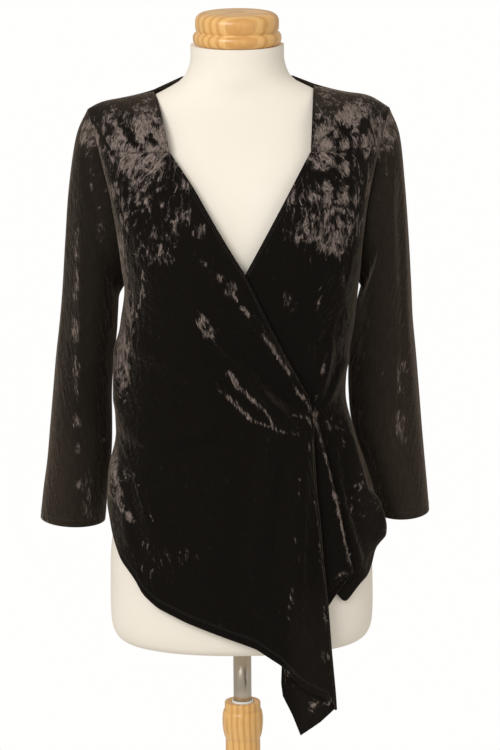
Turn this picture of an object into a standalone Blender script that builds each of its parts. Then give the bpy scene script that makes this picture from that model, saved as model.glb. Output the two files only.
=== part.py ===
"""Crossover velvet blouse on a limbless dress form with a turned stand.

Metres, +Z up. The front faces -Y and +X is to the wearer's left.
The origin is the middle of the stand's foot.
Heights in the tables are measured up from the underside of the form's torso.
"""

import math
from collections import namedtuple

import bmesh
import bpy

FORM_BASE = 0.800
CLOTH = 0.0015
SEAM_GAP = 0.0003

Section = namedtuple("Section", "height left right front back square")
Edge = namedtuple("Edge", "height x")
Hem = namedtuple("Hem", "x height")
Fold = namedtuple("Fold", "x1 height1 x2 height2 bow width rise")
Lift = namedtuple("Lift", "x x_run height height_run out")
Armhole = namedtuple("Armhole", "top_x top_height foot_x foot_height middle_y front_x front_y back_x back_y")
Cuff = namedtuple("Cuff", "outer_x outer_height inner_x inner_height middle_y depth")
Step = namedtuple("Step", "radius height")

# Outside of the garment's body, a row for each level.
BODY = (
    Section(-0.140, 0.166, 0.170, 0.102, 0.095, 2.2),
    Section(-0.020, 0.168, 0.172, 0.103, 0.104, 2.2),
    Section(0.080, 0.172, 0.173, 0.105, 0.114, 2.3),
    Section(0.140, 0.1725, 0.1765, 0.107, 0.116, 2.3),
    Section(0.190, 0.171, 0.171, 0.107, 0.113, 2.3),
    Section(0.230, 0.168, 0.160, 0.106, 0.109, 2.3),
    Section(0.270, 0.159, 0.1460, 0.104, 0.104, 2.3),
    Section(0.310, 0.159, 0.1355, 0.103, 0.098, 2.3),
    Section(0.340, 0.159, 0.1345, 0.106, 0.095, 2.3),
    Section(0.385, 0.155, 0.1400, 0.112, 0.093, 2.3),
    Section(0.420, 0.150, 0.146, 0.118, 0.094, 2.3),
    Section(0.460, 0.1445, 0.150, 0.124, 0.097, 2.4),
    Section(0.500, 0.149, 0.154, 0.125, 0.101, 2.5),
    Section(0.570, 0.156, 0.159, 0.110, 0.107, 2.8),
    Section(0.630, 0.164, 0.167, 0.084, 0.101, 3.0),
    Section(0.700, 0.166, 0.169, 0.060, 0.090, 3.0),
)

# Skin of the dress form.
FORM = (
    Section(0.000, 0.140, 0.140, 0.080, 0.088, 2.3),
    Section(0.004, 0.153, 0.153, 0.089, 0.096, 2.3),
    Section(0.012, 0.1625, 0.1625, 0.095, 0.101, 2.3),
    Section(0.030, 0.168, 0.168, 0.098, 0.105, 2.3),
    Section(0.090, 0.1685, 0.1685, 0.0985, 0.108, 2.3),
    Section(0.130, 0.1665, 0.1665, 0.098, 0.108, 2.3),
    Section(0.180, 0.158, 0.158, 0.096, 0.105, 2.3),
    Section(0.220, 0.147, 0.147, 0.093, 0.100, 2.3),
    Section(0.260, 0.136, 0.136, 0.090, 0.094, 2.3),
    Section(0.300, 0.1275, 0.1275, 0.088, 0.088, 2.3),
    Section(0.340, 0.1235, 0.1235, 0.089, 0.084, 2.3),
    Section(0.380, 0.126, 0.126, 0.094, 0.083, 2.3),
    Section(0.420, 0.130, 0.130, 0.101, 0.085, 2.3),
    Section(0.460, 0.134, 0.134, 0.108, 0.088, 2.3),
    Section(0.495, 0.138, 0.138, 0.111, 0.091, 2.3),
    Section(0.530, 0.141, 0.141, 0.106, 0.094, 2.4),
    Section(0.570, 0.144, 0.144, 0.095, 0.096, 2.5),
    Section(0.600, 0.147, 0.147, 0.085, 0.094, 2.5),
    Section(0.630, 0.150, 0.150, 0.074, 0.089, 2.5),
    Section(0.660, 0.147, 0.147, 0.064, 0.080, 2.4),
    Section(0.684, 0.1306, 0.1345, 0.057, 0.069, 2.3),
    Section(0.7003, 0.1068, 0.1115, 0.053, 0.062, 2.2),
    Section(0.7105, 0.0872, 0.0905, 0.052, 0.058, 2.1),
    Section(0.722, 0.069, 0.069, 0.053, 0.054, 2.0),
    Section(0.742, 0.0590, 0.0590, 0.0520, 0.0520, 2.0),
    Section(0.764, 0.0580, 0.0580, 0.0520, 0.0520, 2.0),
)
NECK_TILT_FROM = 0.720
NECK_TILT = 1.8

# Neck edges and yoke seams of the two fronts, as seen from the front.
OVERLAP_TOP = (
    Hem(-0.200, 0.638), Hem(-0.083, 0.638), Hem(-0.055, 0.598), Hem(0.008, 0.494), Hem(0.0905, 0.309),
    Hem(0.200, 0.309),
)
UNDERLAP_TOP = (
    Hem(-0.200, 0.200), Hem(-0.100, 0.310), Hem(0.008, 0.494), Hem(0.089, 0.638), Hem(0.200, 0.638),
)
UNDERLAP_EDGE_X = -0.100
TOP_RANGE = (0.15, 0.70)
HEM_RANGE = (-0.10, 0.30)

# Lower edges, from the wearer's right to left.
OVERLAP_HEM = (
    Hem(-0.200, 0.189), Hem(-0.1705, 0.189), Hem(-0.1646, 0.153), Hem(-0.153, 0.121), Hem(-0.1315, 0.098),
    Hem(-0.123, 0.084), Hem(-0.1005, 0.067), Hem(-0.0645, 0.050), Hem(-0.002, 0.025), Hem(0.018, 0.017),
    Hem(0.044, -0.003), Hem(0.056, -0.021), Hem(0.069, -0.036), Hem(0.098, -0.055), Hem(0.120, -0.061),
)
UNDERLAP_HEM = (
    Hem(-0.200, 0.200), Hem(-0.100, 0.160), Hem(-0.060, 0.105), Hem(0.060, 0.095), Hem(0.118, 0.084),
    Hem(0.131, 0.067), Hem(0.149, 0.087), Hem(0.162, 0.098), Hem(0.168, 0.113), Hem(0.173, 0.137),
    Hem(0.180, 0.147), Hem(0.210, 0.149),
)
BACK_HEM = ((92.0, 0.148), (130.0, 0.132), (180.0, 0.128), (230.0, 0.140), (268.0, 0.186))

# Folded edges that fall from the knot, top to bottom, and where their turned-back layers end.
TAIL_FOLD = (
    Edge(-0.070, 0.1165), Edge(-0.046, 0.115), Edge(0.010, 0.110), Edge(0.065, 0.106), Edge(0.123, 0.100),
    Edge(0.186, 0.095), Edge(0.218, 0.091), Edge(0.279, 0.088), Edge(0.309, 0.090), Edge(0.640, 0.090),
)
TAIL_RETURN = (
    Hem(0.1165, -0.066), Hem(0.098, -0.081), Hem(0.073, -0.096), Hem(0.063, -0.069), Hem(0.051, -0.043),
    Hem(0.049, -0.026),
)
TIER_FOLD = (
    Edge(0.090, 0.1395), Edge(0.112, 0.138), Edge(0.141, 0.130), Edge(0.179, 0.123), Edge(0.213, 0.116),
    Edge(0.261, 0.105), Edge(0.290, 0.098), Edge(0.309, 0.093),
)
TIER_HEM = (Hem(0.094, 0.074), Hem(0.120, 0.096), Hem(0.139, 0.111))
TIER_RETURN = (Hem(0.138, 0.107), Hem(0.118, 0.081), Hem(0.107, 0.065), Hem(0.101, 0.059))

# How far the overlapping front stands off the body, first where it crosses and then at its tail.
CROSSED = Lift(-0.150, 0.050, 0.590, 0.080, 0.0050)
RAISED = Lift(0.005, 0.055, 0.345, 0.060, 0.0190)

# Loose end below the knot: the tail, the second fold beside it and their turned edges.
KNOT_HEIGHT = 0.309
KNOT_TUCK = 0.012
TAIL_TURN_RADIUS = 0.0035
TAIL_TURN_SHARE = 0.35
TIER_DROP = 0.006
TIER_TUCK = 0.004
TIER_BULGE = 0.0012
TIER_SPREAD = 0.9
TIER_LIFT = 0.0085
TIER_TOP_LIFT = 0.0049
TIER_LIFT_RUN = 0.080
TIER_TURN_RADIUS = 0.0026
TIER_TURN_SHARE = 0.40
TURN_NARROWING = 0.75
TURN_NARROWING_RUN = 0.05
RETURN_SPREAD = 0.85
RETURN_SINK = 0.0004

# Folds that run to the knot, and those that fall from it.
OVERLAP_FOLDS = (
    Fold(0.008, 0.452, 0.086, 0.320, 0.000, 0.0065, 0.0050),
    Fold(-0.050, 0.445, 0.044, 0.314, -0.004, 0.0070, 0.0050),
    Fold(-0.036, 0.370, 0.058, 0.302, -0.014, 0.0065, 0.0040),
    Fold(-0.048, 0.515, 0.024, 0.424, 0.000, 0.0080, 0.0030),
    Fold(-0.130, 0.400, -0.020, 0.330, -0.014, 0.0140, 0.0045),
    Fold(-0.150, 0.290, -0.030, 0.300, 0.010, 0.0150, 0.0050),
    Fold(0.040, 0.290, 0.012, 0.070, 0.006, 0.0120, 0.0045),
    Fold(0.068, 0.292, 0.060, 0.010, 0.004, 0.0090, 0.0050),
    Fold(0.086, 0.300, 0.101, 0.020, 0.000, 0.0080, 0.0050),
    Fold(-0.120, 0.240, -0.060, 0.090, 0.010, 0.0160, 0.0035),
    Fold(-0.150, 0.240, -0.138, 0.140, 0.000, 0.0090, 0.0035),
    Fold(-0.152, 0.400, -0.153, 0.310, 0.000, 0.0070, 0.0050),
    Fold(-0.158, 0.240, -0.160, 0.200, 0.000, 0.0070, 0.0040),
)
UNDERLAP_FOLDS = (
    Fold(0.096, 0.330, 0.112, 0.405, 0.003, 0.0060, 0.0035),
    Fold(0.106, 0.322, 0.134, 0.375, 0.000, 0.0070, 0.0035),
    Fold(0.112, 0.292, 0.150, 0.110, 0.008, 0.0075, 0.0055),
    Fold(0.126, 0.300, 0.168, 0.150, 0.004, 0.0100, 0.0120),
    Fold(0.060, 0.500, 0.130, 0.455, 0.004, 0.0140, 0.0030),
    Fold(0.156, 0.205, 0.174, 0.135, 0.000, 0.0060, 0.0090),
)
BACK_FOLDS = (
    Fold(-0.120, 0.310, 0.010, 0.335, 0.012, 0.0130, 0.0040),
    Fold(0.115, 0.300, -0.020, 0.290, -0.010, 0.0130, 0.0040),
    Fold(-0.070, 0.270, -0.085, 0.130, 0.004, 0.0150, 0.0060),
    Fold(0.000, 0.250, 0.006, 0.120, 0.004, 0.0170, 0.0060),
    Fold(0.075, 0.270, 0.095, 0.120, -0.004, 0.0150, 0.0060),
    Fold(-0.110, 0.590, -0.060, 0.480, 0.010, 0.0130, 0.0035),
    Fold(0.110, 0.590, 0.060, 0.480, -0.010, 0.0130, 0.0035),
)

# Gathers that hang from each yoke seam.
GATHER_PITCH = 0.0150
GATHER_RISE = 0.0022
GATHER_START = 0.006
GATHER_FADE = 0.042
GATHERS_FROM = {-1: -0.075, 1: 0.080}
GATHERS_RUN = 0.010

ARMHOLES = {
    -1: Armhole(-0.187, 0.680, -0.1450, 0.462, 0.006, -0.1560, -0.048, -0.1610, 0.062),
    1: Armhole(0.189, 0.682, 0.1510, 0.464, 0.006, 0.1600, -0.048, 0.1640, 0.062),
}
ARMHOLE_RUN = 0.03
BACK_SPLIT = 0.80
BACK_NECK_SHARE = 0.5
BACK_CURVE_SHARE = 0.3
NECK_POINTS = {-1: (-0.105, 0.706), 1: (0.095, 0.712)}
SHOULDER_SEAM_Y = 0.006
SHOULDER_CROWN = 0.004
SLEEVE_SEAM_X = 0.0018
YOKE_CORNERS = {-1: -0.083, 1: 0.089}
BACK_NECK_Y = 0.062
BACK_NECK_SIDE_X = 0.070
BACK_NECK_SIDE_Y = 0.040
BACK_NECK_HEIGHT = 0.722
YOKE_HEIGHT = 0.638
SIDE_ANGLE = 92.0
SIDE_GAP_ANGLE = 0.15
FRONT_STILL_SHARE = 0.08
BACK_STILL_SHARE = 0.12
PANEL_HOLD_SHARE = 0.30
YOKE_HOLD_SHARE = 0.55

# Sleeve levels below the armhole, each an oval between its outer and inner side.
SLEEVES = {
    -1: (
        Cuff(-0.2020, 0.650, -0.1515, 0.450, 0.006, 0.060),
        Cuff(-0.2125, 0.590, -0.1535, 0.432, 0.009, 0.062),
        Cuff(-0.2190, 0.520, -0.1555, 0.405, 0.013, 0.061),
        Cuff(-0.2240, 0.460, -0.1590, 0.376, 0.018, 0.060),
        Cuff(-0.2290, 0.415, -0.1625, 0.347, 0.024, 0.058),
        Cuff(-0.2350, 0.370, -0.1645, 0.318, 0.029, 0.056),
        Cuff(-0.2405, 0.320, -0.1650, 0.284, 0.034, 0.054),
        Cuff(-0.2455, 0.274, -0.1660, 0.250, 0.037, 0.053),
        Cuff(-0.2500, 0.232, -0.1690, 0.217, 0.039, 0.052),
        Cuff(-0.2560, 0.192, -0.1730, 0.184, 0.040, 0.052),
        Cuff(-0.2605, 0.155, -0.1765, 0.150, 0.040, 0.053),
    ),
    1: (
        Cuff(0.2020, 0.650, 0.1555, 0.452, 0.006, 0.060),
        Cuff(0.2090, 0.590, 0.1545, 0.434, 0.009, 0.062),
        Cuff(0.2145, 0.520, 0.1515, 0.407, 0.013, 0.061),
        Cuff(0.2185, 0.460, 0.1455, 0.378, 0.018, 0.060),
        Cuff(0.2210, 0.415, 0.1405, 0.349, 0.024, 0.058),
        Cuff(0.2255, 0.370, 0.1390, 0.320, 0.029, 0.056),
        Cuff(0.2300, 0.320, 0.1420, 0.286, 0.034, 0.054),
        Cuff(0.2340, 0.274, 0.1505, 0.252, 0.039, 0.053),
        Cuff(0.2380, 0.232, 0.1610, 0.219, 0.043, 0.052),
        Cuff(0.2415, 0.196, 0.1700, 0.188, 0.045, 0.052),
        Cuff(0.2445, 0.160, 0.1770, 0.156, 0.045, 0.053),
    ),
}

# Turned pieces, top to bottom.
POLE_RADIUS = 0.0117
GUARD_RADIUS = 0.0138
GUARD_TOP = -0.0830
POST_BORE_RADIUS = 0.0145
POST_BORE_DEPTH = 0.050
POST_STEPS = (
    Step(0.0205, -0.0850), Step(0.0233, -0.0865), Step(0.0233, -0.0960), Step(0.0248, -0.0968),
    Step(0.0262, -0.1040), Step(0.0265, -0.1130), Step(0.0257, -0.1230), Step(0.0240, -0.1310),
    Step(0.0226, -0.1340),
)
POST_FOOT_RADIUS = 0.0226
BASE_RADIUS = 0.150
BASE_THICKNESS = 0.024
BASE_EDGE = 0.006
BASE_EDGE_CUT = 0.0018
CAP_STEPS = (
    Step(0.0, 0.0405), Step(0.0400, 0.0395), Step(0.0470, 0.0375), Step(0.0505, 0.0345), Step(0.0520, 0.0300),
    Step(0.0520, 0.0200), Step(0.0500, 0.0165), Step(0.0528, 0.0145), Step(0.0550, 0.0095),
    Step(0.0550, 0.0060), Step(0.0528, 0.0015), Step(0.0510, 0.0), Step(0.0, 0.0),
)
CAP_HEIGHT = 0.7640
FORM_SHARP_ANGLE = 50.0
TURNED_STEPS = 24

# Mesh fineness: columns round the body and rows up it.
GATHERED_SHARE = 0.36
GATHERED_COLUMNS = 16
OVERLAP_COLUMNS = 15
OVERLAP_ROWS = 29
UNDERLAP_COLUMNS = 8
UNDERLAP_ROWS = 22
SLEEVE_COLUMNS = 18
SLEEVE_ROWS = 14
TAIL_TURNED_COLUMNS = (1.12, 1.23, 1.35, 1.48, 1.61, 1.74, 2.0)
TIER_COLUMNS = (0.0, 0.33, 0.67, 1.0, 1.13, 1.27, 1.4, 1.6, 1.8, 2.0)
TIER_ROWS = 14
YOKE_COLUMNS = 8
YOKE_ROWS = (0.0, 0.16, 0.32, 0.48, 0.64, 0.80, 0.93, 1.0)
BACK_COLUMNS = 20
BACK_ROWS = 15
BACK_TOP_ROWS = (0.85, 0.90, 0.95, 0.98, 1.0)
FORM_COLUMNS = 32


def eased(t):
    """0 to 1 with a soft start and end."""
    t = min(1.0, max(0.0, t))
    return t * t * (3.0 - 2.0 * t)


def smooth_through(keys, values, at):
    """Value at a key on a smooth curve through rising keys."""
    if at <= keys[0]:
        return values[0]
    if at >= keys[-1]:
        return values[-1]
    i = max(n for n, key in enumerate(keys) if key <= at)
    i = min(i, len(keys) - 2)
    step = keys[i + 1] - keys[i]
    t = (at - keys[i]) / step

    def slope(n):
        low, high = max(0, n - 1), min(len(keys) - 1, n + 1)
        return (values[high] - values[low]) / (keys[high] - keys[low])

    start, end = slope(i) * step, slope(i + 1) * step
    rise = values[i + 1] - values[i]
    return values[i] + t * (start + t * ((3 * rise - 2 * start - end) + t * (start + end - 2 * rise)))


def straight_through(rows, at):
    """Second value of a table at its first, on straight lines between rising rows."""
    if at <= rows[0][0]:
        return rows[0][1]
    for low, high in zip(rows, rows[1:]):
        if at <= high[0]:
            return low[1] + (high[1] - low[1]) * (at - low[0]) / (high[0] - low[0])
    return rows[-1][1]


def along(points, share):
    """Point at a share of the way along a table's points, counted by its rows."""
    place = min(max(share, 0.0), 1.0) * (len(points) - 1)
    i = min(int(place), len(points) - 2)
    t = place - i
    return tuple(a + (b - a) * t for a, b in zip(points[i], points[i + 1]))


def level(table, height):
    """Section of a table at a height."""
    keys = [row.height for row in table]
    return Section(height, *(smooth_through(keys, [row[n] for row in table], height) for n in range(1, 6)))


def ring_point(section, angle, out=0.0):
    """Point of a section at an angle in degrees from centre front, towards the wearer's left."""
    side, ahead = math.sin(math.radians(angle)), math.cos(math.radians(angle))
    reach = (section.left if side < 0 else section.right) + out
    depth = (section.front if ahead > 0 else section.back) + out
    spread = (abs(side) / reach) ** section.square + (abs(ahead) / depth) ** section.square
    radius = spread ** (-1.0 / section.square)
    return radius * side, -radius * ahead


def angle_at(x, height, out=0.0):
    """Angle of the front point at an x, on the body or at a distance out from it."""
    section = level(BODY, height)
    reach = (section.left if x < 0 else section.right) + out
    share = min(abs(x) / reach, 0.9999)
    depth = (section.front + out) * (1.0 - share**section.square) ** (1.0 / section.square)
    return math.degrees(math.atan2(x, depth))


def fold_rise(folds, x, height):
    """How far the folds of a table lift the cloth at a point seen from the front."""
    total = 0.0
    for fold in folds:
        run, fall = fold.x2 - fold.x1, fold.height2 - fold.height1
        length = math.hypot(run, fall)
        dx, dh = x - fold.x1, height - fold.height1
        t = (dx * run + dh * fall) / length**2
        aside = (dx * fall - dh * run) / length - fold.bow * 4.0 * t * (1.0 - t)
        if -0.15 < t < 1.15:
            ends = eased((t + 0.15) / 0.35) * eased((1.15 - t) / 0.30)
            total += fold.rise * ends * math.exp(-((aside / fold.width) ** 2))
    return total


def gather_rise(x, drop):
    """Ripple of the gathers at a drop below the yoke seam."""
    if drop <= 0:
        return 0.0
    strength = (1.0 - math.exp(-drop / GATHER_START)) * math.exp(-drop / GATHER_FADE)
    return GATHER_RISE * strength * (1.0 + math.cos(2.0 * math.pi * x / GATHER_PITCH))


def body_point(angle, height, out):
    x, y = ring_point(level(BODY, height), angle, out)
    return x, y, height


def armhole_point(side, turn):
    """Point of an armhole's edge: 0 at the shoulder, 90 in front, 180 at the underarm, 270 behind."""
    hole = ARMHOLES[side]
    up, ahead = math.cos(math.radians(turn)), math.sin(math.radians(turn))
    share = (1.0 + up) / 2.0
    x = hole.foot_x + (hole.top_x - hole.foot_x) * share
    reach_x, reach_y = (hole.front_x, hole.front_y) if ahead > 0 else (hole.back_x, hole.back_y)
    x += (reach_x - (hole.top_x + hole.foot_x) / 2.0) * ahead**2
    y = hole.middle_y + (reach_y - hole.middle_y) * abs(ahead)
    return x, y, hole.foot_height + (hole.top_height - hole.foot_height) * share


def armhole_turn(side, height, behind=False):
    """Turn of an armhole's point at a height."""
    hole = ARMHOLES[side]
    share = (height - hole.foot_height) / (hole.top_height - hole.foot_height)
    turn = math.degrees(math.acos(min(1.0, max(-1.0, 2.0 * share - 1.0))))
    return 360.0 - turn if behind else turn


def side_pull(side, height, behind=False):
    """How far a panel's side is drawn from the plain body to the armhole's edge."""
    start = ARMHOLES[side].foot_height
    angle = side * SIDE_ANGLE
    if height <= start:
        return 0.0, 0.0, 0.0
    edge = armhole_point(side, armhole_turn(side, height, behind))
    plain = body_point(angle, height, 0.0)
    blend = eased((height - start) / ARMHOLE_RUN)
    return tuple((a - b) * blend for a, b in zip(edge, plain))


def crossing(place, boundary, low, high):
    """Height at which a column, given by its x at a height, meets a boundary."""
    for _ in range(32):
        middle = (low + high) / 2.0
        if middle < straight_through(boundary, place(middle)):
            low = middle
        else:
            high = middle
    return (low + high) / 2.0


def lift_share(lift, x, height):
    return eased((x - lift.x) / lift.x_run) * eased((lift.height - height) / lift.height_run)


def overlap_lift(x, height):
    """Distance of the overlapping front from the body below it."""
    rest = CROSSED.out * lift_share(CROSSED, x, height)
    return rest + (RAISED.out - CROSSED.out) * lift_share(RAISED, x, height)


def front_column(side, share, height):
    """Angle of a front panel's column: share 0 on the side seam, 1 on its free edge."""
    if side < 0:
        edge = angle_at(straight_through(TAIL_FOLD, height), height, RAISED.out)
    else:
        edge = angle_at(UNDERLAP_EDGE_X, height)
    return side * SIDE_ANGLE * (1.0 - share) + edge * share


def front_point(side, share, rise):
    """Point of a front panel's outside: rise 0 on the hem and 1 on the yoke seam or neck edge."""
    top, hem = (OVERLAP_TOP, OVERLAP_HEM) if side < 0 else (UNDERLAP_TOP, UNDERLAP_HEM)

    def place(height):
        return body_point(front_column(side, share, height), height, 0.0)[0]

    highest = crossing(place, top, *TOP_RANGE) - SEAM_GAP / 2.0
    lowest = crossing(place, hem, *HEM_RANGE)
    height = lowest + (highest - lowest) * rise
    angle = front_column(side, share, height)
    x = place(height)
    if side < 0:
        out = overlap_lift(x, height) + fold_rise(OVERLAP_FOLDS, x, height)
    else:
        out = fold_rise(UNDERLAP_FOLDS, x, height)
    gathered = eased((x - GATHERS_FROM[side]) * side / GATHERS_RUN)
    out += gathered * gather_rise(x, YOKE_HEIGHT - height)
    out *= eased(share / FRONT_STILL_SHARE)
    pull = side_pull(side, height)
    hold = max(0.0, 1.0 - share / PANEL_HOLD_SHARE) ** 2
    return tuple(a + b * hold for a, b in zip(body_point(angle, height, out), pull))


def turn_radius(radius, top, height):
    """Radius of a turned edge, drawn in towards its top."""
    return radius * (TURN_NARROWING + (1.0 - TURN_NARROWING) * eased((top - height) / TURN_NARROWING_RUN))


def turned_back_point(fold, hem, turn_share, share, rise, lift, radius, top):
    """Point past a folded edge: the turn itself up to turn_share, and then the layer that runs back."""
    if share < turn_share:
        bend = math.pi * share / turn_share
        foot = hem[0]
        height = foot.height + (top - foot.height) * rise
        narrow = turn_radius(radius, top, height)
        x = straight_through(fold, height) + narrow * math.sin(bend)
        back = lift(x, height) - narrow * (1.0 - math.cos(bend))
        return body_point(angle_at(x, height, back), height, back)
    across = (share - turn_share) / (1.0 - turn_share)
    foot_x, foot_height = along(hem, across)
    height = foot_height + (top - foot_height) * rise
    x = straight_through(fold, height) - KNOT_TUCK * across * rise
    x += (foot_x - straight_through(fold, foot_height)) * (1.0 - rise) ** RETURN_SPREAD
    back = lift(x, height) - 2.0 * turn_radius(radius, top, height) - RETURN_SINK * across
    return body_point(angle_at(x, height, back), height, back)


def overlap_point(column, rise):
    """Point of the whole overlapping front: columns past 1 turn under the tail's fold."""
    if column <= 1.0:
        return front_point(-1, column, rise)
    return turned_back_point(
        TAIL_FOLD, TAIL_RETURN, TAIL_TURN_SHARE, column - 1.0, rise, overlap_lift, TAIL_TURN_RADIUS,
        KNOT_HEIGHT,
    )


def tier_lift(x, height):
    """Distance of the second fold from the body, close to the underlap where it is sewn at the knot."""
    fallen = eased((KNOT_HEIGHT - height) / TIER_LIFT_RUN)
    return TIER_TOP_LIFT + (TIER_LIFT - TIER_TOP_LIFT) * fallen + fold_rise(UNDERLAP_FOLDS, x, height)


def tier_point(column, rise):
    """Point of the second fold beside the tail."""
    top = KNOT_HEIGHT - TIER_DROP
    if column <= 1.0:
        foot_x, foot_height = along(TIER_HEM, column)
        height = foot_height + (top - foot_height) * rise
        width = (straight_through(TIER_FOLD, foot_height) - foot_x) * (1.0 - rise) ** TIER_SPREAD
        width += TIER_TUCK * (1.0 - column) * rise
        x = straight_through(TIER_FOLD, height) - width
        out = tier_lift(x, height) + TIER_BULGE * math.sin(math.pi * column)
        return body_point(angle_at(x, height, out), height, out)
    return turned_back_point(
        TIER_FOLD, TIER_RETURN, TIER_TURN_SHARE, column - 1.0, rise, tier_lift, TIER_TURN_RADIUS, top
    )


def arched(start, end, share):
    """Point on a quarter oval that leaves its start upwards and arrives at its end level."""
    quarter = math.radians(90.0 * share)
    x = start[0] + (end[0] - start[0]) * share
    y = end[1] + (start[1] - end[1]) * math.cos(quarter)
    return x, y, start[2] + (end[2] - start[2]) * math.sin(quarter)


def edge_bow(side, turn, share):
    """How far an armhole's edge bows from a plain arch between one of its points and the shoulder."""
    last = 0.0 if turn < 180.0 else 360.0
    edge = armhole_point(side, turn + (last - turn) * share)
    plain = arched(armhole_point(side, turn), armhole_point(side, 0.0), share)
    return tuple(a - b for a, b in zip(edge, plain))


def shoulder_seam(side, across):
    """X and height of a shoulder seam: across 0 at the neck and 1 at the armhole."""
    neck_x, neck_height = NECK_POINTS[side]
    tip = armhole_point(side, 0.0)
    crown = SHOULDER_CROWN * math.sin(math.pi * across)
    return neck_x + (tip[0] - neck_x) * across, neck_height + (tip[2] - neck_height) * across + crown


def yoke_point(side, across, rise):
    """Point of a front yoke: across 0 at the neck and 1 at the armhole, rise 0 on the seam below."""
    low = YOKE_HEIGHT + SEAM_GAP / 2.0
    first, last = front_column(side, 0.0, low), front_column(side, 1.0, low)
    neck_share = (angle_at(YOKE_CORNERS[side], low) - first) / (last - first)
    share = neck_share * (1.0 - across)
    plain = body_point(front_column(side, share, low), low, 0.0)
    front_hold = max(0.0, 1.0 - share / PANEL_HOLD_SHARE) ** 2
    start = tuple(a + b * front_hold for a, b in zip(plain, side_pull(side, low)))
    x, height = shoulder_seam(side, across)
    point = arched(start, (x, SHOULDER_SEAM_Y - 2.0 * SEAM_GAP, height), rise)
    hold = max(0.0, 1.0 - (1.0 - across) / YOKE_HOLD_SHARE) ** 2
    bow = edge_bow(side, armhole_turn(side, low), rise)
    return tuple(a + b * hold for a, b in zip(point, bow))


def back_top(across):
    """Point of the back's upper edge: across -1 and 1 at the shoulder tips and 0 at the centre back."""
    side = -1 if across < 0 else 1
    neck_x, neck_height = NECK_POINTS[side]
    share = abs(across)
    if share > BACK_NECK_SHARE:
        x, height = shoulder_seam(side, (share - BACK_NECK_SHARE) / (1.0 - BACK_NECK_SHARE))
        return x, SHOULDER_SEAM_Y, height
    if share > BACK_CURVE_SHARE:
        t = (share - BACK_CURVE_SHARE) / (BACK_NECK_SHARE - BACK_CURVE_SHARE)
        x = side * BACK_NECK_SIDE_X + (neck_x - side * BACK_NECK_SIDE_X) * t
        y = BACK_NECK_SIDE_Y + (SHOULDER_SEAM_Y - BACK_NECK_SIDE_Y) * t
        return x, y, BACK_NECK_HEIGHT + (neck_height - BACK_NECK_HEIGHT) * t
    t = share / BACK_CURVE_SHARE
    y = BACK_NECK_SIDE_Y + (BACK_NECK_Y - BACK_NECK_SIDE_Y) * math.cos(t * math.pi / 2.0)
    return side * BACK_NECK_SIDE_X * t, y, BACK_NECK_HEIGHT


def back_point(across, rise):
    """Point of the back: across -1 on the wearer's right side, 1 on the left, rise 0 on the hem."""
    side = -1 if across < 0 else 1
    angle = 180.0 - across * (180.0 - SIDE_ANGLE - SIDE_GAP_ANGLE)
    hold = max(0.0, 1.0 - (1.0 - abs(across)) / PANEL_HOLD_SHARE) ** 2

    def lower(height):
        x = body_point(angle, height, 0.0)[0]
        out = fold_rise(BACK_FOLDS, x, height) * eased((1.0 - abs(across)) / BACK_STILL_SHARE)
        point = body_point(angle, height, out)
        return tuple(a + b * hold for a, b in zip(point, side_pull(side, height, behind=True)))

    if rise <= BACK_SPLIT:
        hem = straight_through(BACK_HEM, angle)
        return lower(hem + (YOKE_HEIGHT - hem) * rise / BACK_SPLIT)
    share = (rise - BACK_SPLIT) / (1.0 - BACK_SPLIT)
    bow = edge_bow(side, armhole_turn(side, YOKE_HEIGHT, behind=True), share)
    point = arched(lower(YOKE_HEIGHT), back_top(across), share)
    return tuple(a + b * hold for a, b in zip(point, bow))


def sleeve_rings(side):
    """Ovals down a sleeve as functions of the turn round them."""

    def plain(row):
        def at(turn):
            up, ahead = math.cos(math.radians(turn)), math.sin(math.radians(turn))
            x = (row.outer_x + row.inner_x) / 2.0 + (row.outer_x - row.inner_x) / 2.0 * up
            middle = (row.outer_height + row.inner_height) / 2.0
            height = middle + (row.outer_height - row.inner_height) / 2.0 * up
            return x, row.middle_y - row.depth * ahead, height

        return at

    def cap(turn):
        x, y, height = armhole_point(side, turn)
        return x + side * SLEEVE_SEAM_X, y, height + SEAM_GAP

    return [cap] + [plain(row) for row in SLEEVES[side]]


def sleeve_point(side, around, rise):
    """Point of a sleeve: around 0 to 1 from the shoulder towards the front, rise 0 at the cuff."""
    rings = sleeve_rings(side)
    keys = list(range(len(rings)))
    place = (1.0 - rise) * (len(rings) - 1)
    turn = 360.0 * around
    low = max(0, min(int(place) - 1, len(rings) - 4))
    chosen = keys[low:low + 4]
    points = [rings[n](turn) for n in chosen]
    return tuple(smooth_through(chosen, [point[axis] for point in points], place) for axis in range(3))


def finish(name, colour, roughness, metallic=0.0):
    """Plain finish of a part."""
    made = bpy.data.materials.new(name)
    made.use_nodes = True
    shader = made.node_tree.nodes["Principled BSDF"]
    shader.inputs["Base Color"].default_value = (*colour, 1.0)
    shader.inputs["Roughness"].default_value = roughness
    shader.inputs["Metallic"].default_value = metallic
    made.diffuse_color = (*colour, 1.0)
    return made


def add_object(name, mesh, collection, material):
    body = bpy.data.objects.new(name, mesh)
    body.data.materials.append(material)
    collection.objects.link(body)
    mesh.shade_smooth()
    return body


def grid_mesh(name, columns, rows, point, wrap=False):
    """Open surface from a grid whose points are placed by a function of their shares."""
    shape = bmesh.new()
    bmesh.ops.create_grid(shape, x_segments=len(columns) - 1, y_segments=len(rows) - 1, size=0.5)
    for vert in shape.verts:
        column = columns[round((vert.co.x + 0.5) * (len(columns) - 1))]
        row = rows[round((vert.co.y + 0.5) * (len(rows) - 1))]
        x, y, height = point(column, row)
        vert.co = (x, y, FORM_BASE + height)
    if wrap:
        bmesh.ops.remove_doubles(shape, verts=shape.verts, dist=1e-6)
    mesh = bpy.data.meshes.new(name)
    shape.to_mesh(mesh)
    shape.free()
    return mesh


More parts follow.
